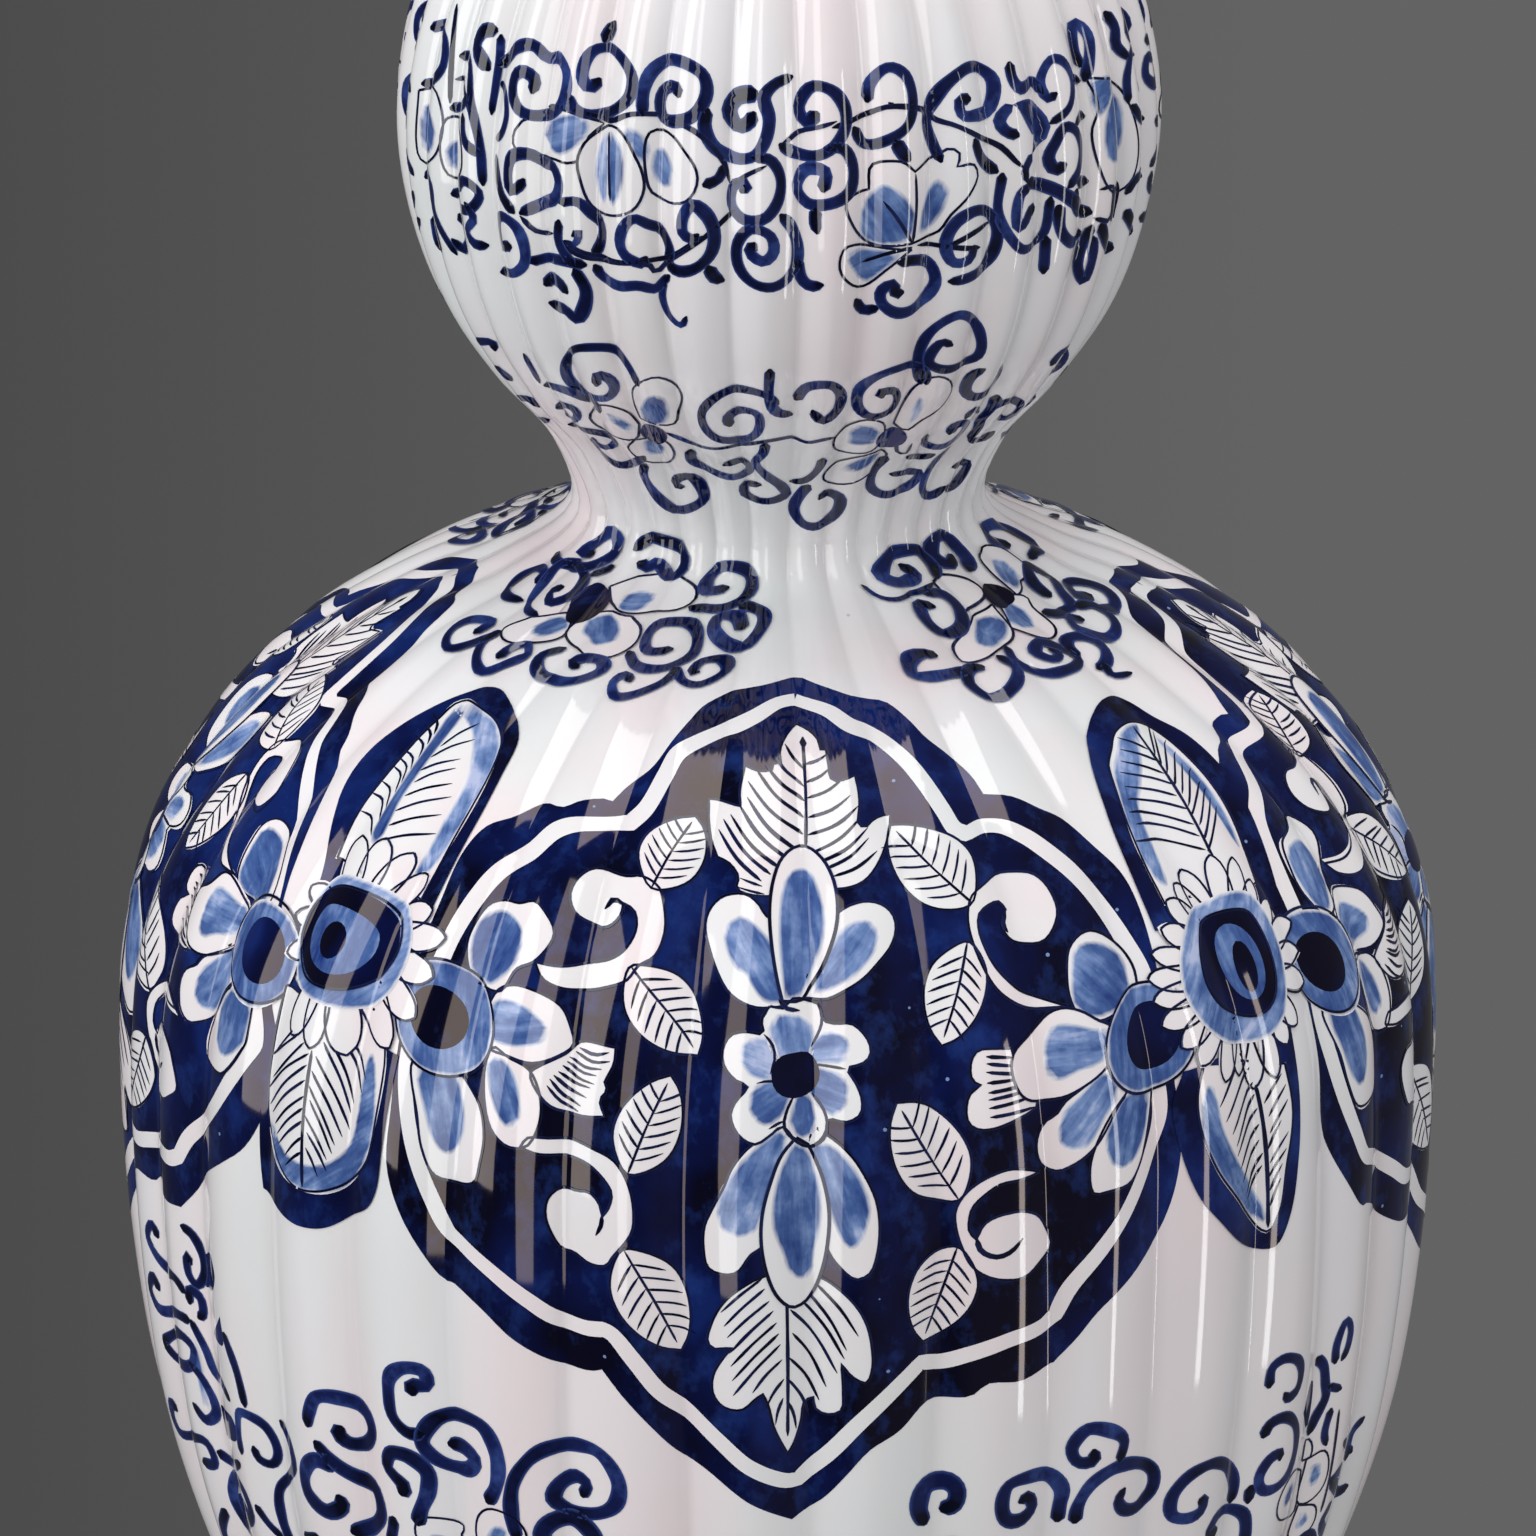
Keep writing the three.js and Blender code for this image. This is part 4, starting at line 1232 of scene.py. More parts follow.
def right_leaf_flower(field):
    """The flower right of the front cartouche, with narrower leaves and many petals."""
    field.fill("ground", """-15.5,6.5* -15,15 -13.5,24 -11,31 -7.5,37.5 -3,42.5 0.5,46.5 4,48.6 8,48 11,45.4
               13.2,41 16.4,36 18,30 18.5,22 17.5,12 16,1*""")
    field.fill("ground", """-19,-17.5* -22,-23 -21.8,-31 -19,-39.5 -14,-46 -9,-51 -4,-54 0,-54.4 2.6,-50
               4.6,-40 6,-28 6.6,-15*""")
    field.layer += 1
    field.petal("-11.2,10* -11.2,18 -9.4,26 -5.4,33.5 -1.4,38.8 2,42.4 6,43 9.6,41 12,37.4 13.6,30 14.2,22"
                " 13.6,14 11.5,7*")
    field.petal("-15,-17* -17.6,-22 -18,-28 -15.4,-35.5 -10,-42.6 -5.6,-48 -1.5,-51.6 0.6,-48 1.8,-40"
                " 3.4,-31 3,-22*")
    field.band("wash", "-8.8,13 -8.8,20 -6.6,27 -3,32.6 0.8,37.4 4,40.4 8,40.8", 4.8, 0)
    field.band("wash", "12.2,13 12.6,23 11.4,31 9.8,37.5", 3.2, -0.05)
    field.band("wash", "-15,-20.5 -15.6,-27.5 -13,-34.6 -8.4,-41 -4.6,-46.2 -2,-49.4", 4.8, 0)
    field.line("6.4,41.5 5.4,33 4.4,25 3,13.5", 0.7)
    field.line("-3.2,-24 -2.2,-38 -1.6,-50.5", 0.8)
    field.hatch("5.4,36.5 2.6,16.4", "1.4,40.6 -10,22", 9, bow=0.05)
    field.hatch("5.8,35 3.2,16.5", "11.2,39.4 13.2,20.4", 10, bow=-0.05)
    field.hatch("-4,-18.5 -2.4,-39", "-13,-25.6 -6.4,-44.4", 9, 0.6, bow=0.03)
    field.hatch("-1.8,-28 -1.4,-47", "2.9,-23.5 1.2,-42", 8, bow=-0.03)
    sun(field, """-3.2,14,2.1 3,15.6,2.2 8,13.2,2.1 9.9,8,2.1 12.6,3.4,2.1 16,-1.5,2.2 15.8,-7.2,2.1
        15,-12,2.1
        8.2,-16.7,2.1 4.5,-19.4,1.9 0.8,-23.8,1.9 -3.2,-25,2.1 -7.2,-21.6,2 -11.5,-21.2,2.2 -16,-17,2.2
        -18.6,-13.4,2.1 -20.8,-9.4,2.1 -20.9,-5.4,2 -20.4,-1.2,2.1 -17.8,3,2.1 -14.6,6.8,2.1 -10.8,10.8,2.2
        -7,12.6,1.9""",
        "-3.5,7.3 2,8.3 7.5,6.5 10,0 9,-8 5,-15 -1,-17.5 -8,-16 -13.5,-10 -15,-4 -13,2 -8,6",
        "-3,5 2,5.3 5.2,4 6.4,-1 5.8,-7 3.4,-11.4 0,-13 -4,-12.2 -8,-9 -9.6,-5 -8.6,-0.5 -6,3",
        oval(-0.2, -3.2, 4, 6.8), oval(0, -4.2, 2, 4.5))


LEAF_FLOWER_LEVEL = 250.6
for name, meridian, draw in (("left", -43.9, left_leaf_flower), ("right", 42.5, right_leaf_flower),
                             ("back_left", 225, right_leaf_flower), ("back_right", 134, left_leaf_flower)):
    panel = Field(f"leaf_flower_{name}", meridian, LEAF_FLOWER_LEVEL, loose=0.25, layer=4)
    draw(panel)
    panel.finish()

# Shoulder sprays
# Loose sprays of curls round a small flower, one above each leaf flower, in single loaded strokes.


def curls(field, width, *paths):
    """Single strokes, thickest where they start, that end in a short point."""
    for path in paths:
        field.stroke("curl", path, width * rng.uniform(0.92, 1.08), tips=(0, 1.3))


def blossom(field, x, y, size, turn):
    """A small open flower: five washed petals round a dark eye."""
    for way in turn + np.arange(0, 360, 72):
        tip = size * ray(way)
        petal = oval(*((x, y) + 0.62 * tip), 0.36 * size, 0.44 * size, way - 90, 0.25)
        wash = oval(*((x, y) + 0.52 * tip), 0.22 * size, 0.32 * size, way - 90, 0.2)
        field.petal(petal, wash, (x, y, *((x, y) + tip)), 0.1, outline=0.6)
    field.layer += 1
    field.fill("core", oval(x, y, 0.24 * size, 0.24 * size))
    field.layer -= 1


def left_spray(field):
    """Four petals about a dark eye, with curls all round them."""
    field.petal("0.5,5.5* 3,8 8,10.5 12,10.5 15.5,9 17,6 16,4 12,2 8.5,1 4,1", "4,4 7,7 10,6 9.5,2 5,1",
                (3, 4, 12, 8))
    field.petal("9,0.5* 12,-2 13.5,-6 12,-9.5 6,-10.5 2,-8.5 0,-6 2,-1",
                "2,-2 7,-0.5 10.5,-5 7.5,-8 3,-6", (2, -1, 9, -8), 0.1)
    field.petal("-9,-6* -12,-11 -8,-13 -3,-11 0.5,-7.5 -2,-3", "-6,-5 -1,-3.5 0,-5.5 -5,-10.5 -7,-9",
                (-1, -4, -7, -11))
    field.petal("-13.5,6* -14,0 -13,-5 -8,-5.5 -5.5,-4 -5.5,1 -6.5,6", outline=0)
    field.layer += 1
    field.fill("core", oval(-1, 0.5, 4, 5))
    curls(field, 2.1,
          "2,11.5 4.5,11 6.5,12.5 10,10 11.5,13 9.5,16 6,17 2.5,16 0.5,13.5",
          "21,10 18,8.5 16.5,10.5 17.5,13.5 20,14 23.5,12 25,8 23,5.5 19,4.5 17,5",
          "29.5,0 26,3.5 23.5,3.5 24,1 28,-2.5 32,-4 32,1 30,4.5 25,6",
          "21,-5.5 17,-6.5 14.5,-3 15,0 18.5,1 22,-1 25,-6.5 23,-10 18,-10.5 14,-8",
          "29,-10 28,-10.5 27.5,-7.5 30,-6.5 33,-9.5 31,-13 28,-13 24,-10",
          "20,-14.5 18,-13 17,-15.5 20,-18.5 25,-14 25,-10.5",
          "9,-13.5 6.5,-13 8,-11 11,-10.5 13,-13 11,-16 6.5,-18 3,-17 0.5,-13 3,-10",
          "-7.5,-17.5 -7,-14 -5,-12.5 -2.5,-14 -5,-18 -7.5,-21 -9,-20.5 -13.5,-15 -12,-11.5",
          "-18,-15.5 -17,-11.5 -21,-12.5 -23,-16 -20,-20 -15,-16 -12,-12",
          "-15.5,0 -16,3 -19,2.5 -22,-1 -22,-4.5 -15,-4.5",
          "-8,2 -10,0 -8,-2 -5.5,1 -6.5,6 -13.5,6 -14,0 -13,-5 -8,-5.5",
          "-8,10.5 -12,9 -9,13 -5.5,15.5 -4,12 -7,8 -12,6 -19,6",
          "-5.5,6 -2,9.5")


def right_spray(field):
    """A flower with a trailing petal, with curls all round it."""
    field.petal("-9,7* -5,7.5 -2,5 -1.5,2 -5,0 -9,-1", outline=0.6)
    field.petal("-3,-1* -8,-2.5 -14,-5 -18,-8 -19.5,-12 -12,-11 -9,-11 -5,-8",
                "-14,-8 -10,-4 -4,-3 -4,-6 -9,-10 -13,-9.5", (-4, -3, -15, -10), 0.1)
    field.petal("-4.5,-7* -1,-12 1.5,-13.5 4,-11 4.5,-5 5.5,-3 4,-1.5 0,-1",
                "-4,-6 0,-2 3,-4 1,-10", (1, -2, 1, -12), -0.1)
    field.petal("4,-1.5* 10,0 13.5,2 13,7 9,9.5 8,8.5 5,8.5 4,5 4,1", "4.5,0 5,5 10,6 10,0", (4, 0, 11, 6))
    field.layer += 1
    field.fill("core", oval(0.5, -0.5, 3.3, 3))
    curls(field, 2.4,
          "-12,12 -11,9.5 -14,8 -17,10.5 -14,13.5 -10,14.5 -7,13.5 -6,10 -7.5,7",
          "0,10.5 -3,9.5 -4.5,12 -2.5,15 1,14 2.5,9 0.5,6",
          "-13,2 -15,3 -17,-1 -16.5,-4.5 -12,-3 -9,1 -9.5,4.5 -13,6",
          "-22.5,-9 -24,-7.5 -28,-9.5 -30,-13.5 -25,-13.5 -20,-14.5",
          "-17,-13.5 -20,-14 -23,-17 -22,-21 -17,-19.5 -12,-16 -13,-12",
          "-3,-14 -2,-16 -4.5,-16.5 -6,-14 -3,-12 1,-19.5 -5,-19.5 -9,-19 -11,-15 -9,-11",
          "2.5,-23 5,-22 8,-19 7.5,-16 4,-14.5 2,-16.5 2,-19.5",
          "12,-13.5 9,-11 7.5,-13 10,-17 13,-19 18,-15 17,-11 13,-9.5",
          "5,-7 9,-9.5 13,-9.5 15,-5 18,-3", "11.5,-6 11.5,-1 14,2 18,-3",
          "18,1.5 20,2.5 25,2 22,8 16,11.5 12,10 14,8 17,6",
          "18,-13 23.5,-16 26,-12 21,-6.5 17,-8 19,-10 22,-11.5")
    field.stroke("curl", "-21.5,9.5 -20,6 -14,5.5 -9,7", 1.2, tips=(2, 2))
    field.stroke("curl", "4.5,-22 4,-25 8,-26", 1.8, tips=(0, 3))


SPRAY_LEVEL = 326.9
for name, meridian, draw in (("left", -45, left_spray), ("right", 49, right_spray),
                             ("back_left", 225, left_spray), ("back_right", 135, right_spray)):
    spray = Field(f"shoulder_spray_{name}", meridian, SPRAY_LEVEL, loose=0.15, layer=4)
    draw(spray)
    spray.finish()

# Garland
# A thin stem with open flowers and many curls winds round the underside of the bulb. The front and the
# back have two flowers each, and each side has a small one.


def garland(field):
    """One half of the garland, with both flowers."""
    for x, y, petals in (
        (-24.3, 3, (("-26.8,6.7* -28,10.8 -28,14.2 -26,17 -23.5,18.3 -21,17 -19.3,14.2 -19.8,10 -20.3,6.7",
                     "-24.6,14.2 -26.5,10.5 -26.8,7.5 -24,6.2 -21.3,7.5 -21.2,11 -22.5,14", 90),
                    ("-27.3,5* -29.3,8.3 -32.7,9.6 -36,7.5 -37.3,4.2 -35.2,1.3 -31,0.4 -27.7,0.7",
                     "-33,7.6 -30,6.5 -27.6,3.5 -28.5,2.2 -31,4 -33,6", 175),
                    ("-27.7,0.4* -28.8,-2.5 -28,-4.6 -26,-6.5 -23.5,-7 -21,-5.4 -20,-2.5 -20.6,0.4 -21.8,2",
                     "-26.3,0.5 -25.8,-3.5 -24.5,-4.8 -22.8,-4 -21.5,-1 -22,0.5", 270))),
        (17.3, 2.2, (("18,6.2* 20,12.5 21.7,15.8 24.6,17.5 27.5,15.8 28.7,12.5 27,9.6 22.5,6.7 20,4.2",
                      "22,13 23,11 22,7.5 20.5,5 20.6,8 21.2,11.5", 55),
                     ("16.2,4.2* 15.4,7.5 12.5,8.8 9.2,6.7 7,3.3 7.9,0 10.8,-1 14.2,-0.4",
                      "14,6.5 11,7 9.6,4 9.8,1.6 12,1.2 15.5,2.5", 165),
                     ("15.8,-1.2* 10.8,-2.5 7,-5.4 5.7,-8.8 7.5,-10.8 12.5,-10 15.8,-6.7 17,-2.5",
                      "15.5,-1.8 12,-2.6 9.4,-5 8.6,-7.4 11,-7.6 14,-6 15.6,-3.4", 230))),
    ):
        for rim, wash, way in petals:
            field.petal(rim, wash, (x, y, *((x, y) + 9 * ray(way))), 0.1)
        field.layer += 1
        field.fill("core", oval(x, y, 2.9, 3.0))
        field.layer -= 1
    field.line("18.5,1 18.6,-2.5 20,-3.4 21,0", 0.6)
    field.stroke("curl", "-21.5,4.5 -19,2.6 -17.2,1.2 -12.7,1 -8.5,2 -4.3,3.8 0,4.2 2.5,3.2 5,4 7.5,4.2",
                 0.9, tips=(2, 2), sides=2)
    field.stroke("curl", "-52.2,17 -49,10", 0.9, tips=(2, 2), sides=2)
    curls(field, 1.9,
          "-34.6,14.2 -34.2,17.2 -32.5,16.5 -31.6,14 -32.8,11.6 -36.5,11 -40,12 -41.8,15.5 -41,19.5"
          " -37.5,22.5 -32,23 -28.5,20 -26.5,16",
          "-41,12 -37,10.5 -34.8,8.6 -34.5,6.5", "-48.5,9.2 -44.3,11 -41,10.4 -37.2,8.4",
          "-45.6,3.3 -43.5,5.8 -40.6,6.2 -39.4,4.6 -40,2.6 -43,2 -43.6,4",
          "-43.5,-0.8 -39.3,0 -35,-0.4 -32.7,-2 -34,-5 -36.4,-4 -36.8,-2",
          "-38.5,-4 -35,-8.5 -31,-10.4 -27,-7 -26,-5",
          "-25.6,-7.5 -26,-11.7 -24.3,-15 -21.8,-18 -20.3,-19 -17,-17.5 -14.8,-15 -15.8,-11 -17.3,-9.3"
          " -19.4,-10.4 -20,-12.6 -18,-12.3",
          "-17.6,-0.8 -16.8,-5 -12.7,-7.5 -9,-8.6 -6.8,-5.8 -8.4,-3.3 -11.5,-4.8",
          "-10.6,7 -11,9.6 -8.5,11.7 -6,11.3 -5.6,7.5 -7,4.6 -9.5,3.2 -12.5,3.8 -14.8,6.7 -15.3,11 -12.8,15"
          " -8.5,16.8 -4.5,16 -2.5,13.5",
          "-4,22 -4,15 -2.7,11.7 0,10.4", "0.4,13.8 2.5,17.5 6,18 8,15.4 7.5,11.7 5,9.2 3.6,11 3.2,12",
          "15,14.2 14.6,15.6 17,15.6 18,13.3 16.7,10.4 13,9.6 11.2,11.7 11.2,15.8 13.3,18.8 16.5,20.5 22,20"
          " 23,16",
          "27,24 25,25 23,21 26,19 33,20 33,26 28,30 24,28 21.5,23 22,16",
          "39.6,16.3 38.8,13.3 36,10.5 32.5,10.4 31.3,12 32.5,15.8 34.6,17",
          "24,2 24.3,-1.5 27,-3.5 30,-2 32,1 31.5,3.5 29.5,3 28.5,0.5", "31.3,4.6 33.4,6.6 36,4",
          "39.2,8.3 38,4.6 36.3,2 35.8,-0.5 34.2,-4",
          "41.5,1.5 43.5,-1 45.5,0 46.5,2.5 44.8,4.6 40.8,6.2 37,4.6", "34.2,-4 39.2,-7 41.7,-5",
          "17,-3.8 15,-8.3 14.6,-13 16.7,-15 21.7,-14.6 23.8,-11.2 20.8,-10.4 17.5,-9.6",
          "20.4,-4.2 24.2,-6.2 26.7,-5.8",
          "30.8,-5 27.5,-7.5 25.4,-11.7 25,-15.8 27.5,-18.3 30.8,-16.7",
          "30.8,-16.7 33.3,-18.3 36.7,-13.3 33.3,-12 31.5,-12",
          "3.3,-10.4 1.7,-13.3 0.8,-16.7 2.5,-20 5.4,-20.8 8.3,-18.3 8.8,-14.6 6.2,-13.3 5,-14.6",
          "5.4,-1.7 4.6,-5.8 2.5,-9.2 0,-10",
          "-4.3,3.3 -4.7,0 -6,-3.3 -4,-7.5 -1.4,-11 -0.6,-13.3 -4.3,-14.6 -7.7,-13.3 -7.7,-10.8 -4.8,-10.4",
          "53.3,2.5 50,-1.7", "-66,15 -61.8,16 -61,14", "-61.8,10 -57.7,7",
          "52,12 54.5,15 58.5,14 59,10 55.5,8 53,10.5", "58,3 61.5,5.5 66,4 66,0 62,-1.5",
          "-50,-3 -53,-5 -57,-3.5 -58,0.5 -54.5,2.5 -52,0.5", "47,-9 50.5,-12 55,-10 55.5,-6")


GARLAND_LEVEL = 369.2
for name, meridian in (("front", 0), ("back", 180)):
    wreath = Field(f"garland_{name}", meridian, GARLAND_LEVEL, loose=0.12)
    garland(wreath)
    wreath.finish()
for name, meridian in (("left", -90), ("right", 90)):
    sprig = Field(f"garland_{name}", meridian, GARLAND_LEVEL, loose=0.12)
    blossom(sprig, 0, 3, 6.5, 20)
    curls(sprig, 1.7, "-10,12 -7,15 -3,13 -4,9 -8,9", "8,14 11,11 8,8 4,10 5,13",
          "-9,-3 -5,-1 -3,-5 -6,-8 -9,-6",
          "9,-4 5,-3 4,-7 7,-10 10,-8", "-1,13 0,18 4,20 6,17", "0,-5 1,-11 -2,-13", "-12,4 -9,6 -7,3")
    sprig.finish()

# Bulb band
# A wide band of curls round the bulb's widest place. Its flowers are seen from above, from the side and
# hanging, and a small one fills the gap at each side of the vase.


def bulb_left(field):
    """A hanging flower of three petals among thick curls."""
    field.petal("-25.5,13* -27,10.8 -26.8,8.5 -24.5,7.6 -18,8 -15.4,7.9 -13,9 -12.6,12 -10,14.6* -18,16.2",
                "-22.7,11.5 -19,14.8 -12.8,15.8 -12.6,12.6 -16.3,8.8 -18.3,8.6 -21.8,10.2",
                (-11, 15, -23, 10), 0.15)
    field.petal("-1.4,14 2.3,14 5,11.7 7,9 7.3,6.7 5.9,4 3.2,3 -0.5,4 -1.6,6.8",
                "-0.5,11.7 1.8,11.3 3.6,6.8 1.4,5.2 -0.9,6.8", (-2, 14, 3, 6), 0.1)
    field.fill("wash", "-7.5,15.2* -4,15 -1.6,12.8 -1,9.6 -1.7,8.4 -3.4,9.8 -5.4,12.6", (-7, 15, -1, 9), 0.3)
    field.layer += 1
    field.petal("-8.8,14.4* -12.7,11.7 -14.1,8.5 -13.6,5 -12.3,1.3 -10.9,0 -6.4,0.2 -3.4,1.7 -2,5 -2.4,8"
                " -3.5,10.4 -5,13 -7,14.5")
    field.fill("wash", "-8.8,14 -10.6,12 -11.7,8.5 -11.4,4.5 -9.8,1.4 -8.5,2 -8.2,8 -8.4,13",
               (-9, 14, -10, 2), -0.35)
    field.fill("wash", "-8.5,14.2 -8.4,7 -8.2,1.4 -6.6,1.6 -5.1,5.5 -4.9,9.5 -6,12.8", (-8, 14, -7, 2), 0.25)
    field.line("-8.6,13.4 -8.2,7 -7.8,2.4", 0.6)
    field.layer -= 1
    curls(field, 1.95,
          "-24.3,17.6 -24,20 -26,21.1 -27.8,20 -28,17 -26,14.6 -22.5,14.2 -18.5,16 -16.9,19 -17.2,22.5"
          " -19.5,24 -22,23.6 -24.5,25.6 -28,24.6 -31,22 -34,20.3",
          "-11.4,21.8 -12.6,20.2 -14,21.5 -13.8,24.5 -12.5,26.4 -10.3,26.8 -7.2,25.8 -5,23.3 -5,20 -7,17.8"
          " -10,16.2 -12.8,15.9 -15,16.8 -16.3,19",
          "3.4,20.2 2.6,21.8 0.4,21 -0.2,18.5 0.8,16.4 4,16.6 6.5,18 8,21 7.2,24.2 4,25.9 0.5,25.8 -1.8,24"
          " -2.9,20.5 -2.7,16.8",
          "-25.1,3.6 -26,2 -27.7,1.2 -28.2,4.5 -27.3,7 -24.5,7.8 -21.8,6.6 -19,6.8 -17.5,4.5 -18.2,1.7"
          " -21,0.2 -23.6,-1.2 -26,-2.6",
          "-17.3,1 -14,1.5 -11.8,-0.5 -10,-2.5 -10.4,-5.5 -12,-8",
          "-27.8,-8.7 -29.6,-9 -31.3,-9.6 -32,-7 -31.6,-4.6 -29.5,-3.8 -26.8,-5 -25.5,-8.3 -25.7,-11.5"
          " -27.8,-13.5 -31,-14.3 -33.7,-15.2",
          "-25,-11 -21,-9.6 -17,-9 -13,-9.4",
          "-12,-9.4 -10.6,-11.6 -7,-12.3 -3.5,-11.8 -0.8,-12.4 0.5,-11 2,-9.6",
          "-2,-6.5 -2.6,-7.8 -5.5,-6.3 -6.2,-4 -5,-1 -3.5,0 -1.5,-1 0.6,-2 2.2,-5 1.5,-8",
          "1.5,-7.4 3.6,-8.4 6.8,-7.6 9.4,-5 10,-1.5 8.8,1.8 6.6,3.4 5,1.2 5,-1.6 6.8,-2.4 7.6,-1.4",
          "8.8,-7 9.8,-9.2 11.3,-10")
    curls(field, 2.35, "-33.8,26 -36.5,25.5 -38,23 -36.5,21 -34.8,19.3", "-32.8,6 -30.5,0.5 -27,-2.6",
          "-17.3,-2 -17.8,-5.5 -16.8,-7.5 -14.8,-9.8", "-22.8,-15.2 -21,-13.4 -18.5,-13.4 -16.6,-15",
          "-15,-10 -13.4,-14 -14.3,-18 -15.5,-19.6 -18,-18.4 -21,-18.8 -22.6,-18.4", "-11.2,27.5 -9.6,31")
    curls(field, 1.4, "-33.4,25.5 -33.6,20 -34.4,14 -34.6,12",
          "-33.4,17.6 -30.6,17.2 -29,13.5 -30.3,10 -33.2,8.4",
          "0.8,-10.5 0.2,-14 1.3,-17.4 3.6,-18.6 4.8,-16.6", "-15,-4.6 -13.8,-3.6 -14.6,-6 -16.4,-5.4")
    for stem in ("-26,-3 -23.2,-5.6 -19,-4.8", "-17.3,-6 -12,-8.4 -1.6,-8 -0.6,-9.4 2,-7 8,-2.4 13.5,2.6",
                 "-17,-5.4 -12,-7.6 -1.4,-7.2 2,-6.4 8,-1.9", "-21.5,15.8 -16.4,16.7 -9,15.3 -4.5,17"
                 " 2.3,16.4 7,14.8 11,10.3 12.3,6.5"):
        field.line(stem, 0.85, tips=(1, 2))


def bulb_middle(field):
    """Curls that join the two flowers."""
    curls(field, 2.0,
          "-13.9,19 -14.5,16 -13,12.5 -10,10.8 -6.5,11.5 -4.7,14 -4,17.5 -4.8,21 -3,23 0,23.8",
          "4,18.5 2,16.8 0.8,19 3,22.6 6,22 8.3,19 8.5,16 6.5,13 3.5,11.5 0,11.8 -2.5,13.5",
          "4.4,5.6 4.8,9 1.8,9.2 0.3,6 2,3.6 5,3.6 9,5.4 9.6,9.5 7.8,12.6 4.5,12.8",
          "-6.2,-2.8 -7.2,-4.5 -5,-6 -3.4,-4.5 -4,-1.5 -7,-0.5 -9.3,-3.5 -9,-7.5 -6.5,-10 -3,-10.5 0,-8"
          " 0.6,-4 -0.5,-0.5 -2.5,2",
          "0.4,-6 1.2,-9.5 2.6,-10.7 4.8,-10.3", "3.6,3 3.4,0.5 3.8,-1.5")
    curls(field, 1.8, "-9,5.4 -7.5,7 -10,6.5 -10.5,3 -8.5,1 -5,1.3 -2.8,4 -2.3,8 -4,11 -7,11.3",
          "-15,6.6 -12.5,7.6 -11.5,10")
    curls(field, 2.5, "-5.8,21.6 -9.4,20.6 -10.8,18.4 -9.4,16 -7.6,16.6 -6.4,18.6")
    for stem in ("-2.5,12.5 1,15 4,16 7,17", "-10.5,6.2 -7.6,8.4 -4.5,10"):
        field.line(stem, 0.8, tips=(1, 2))


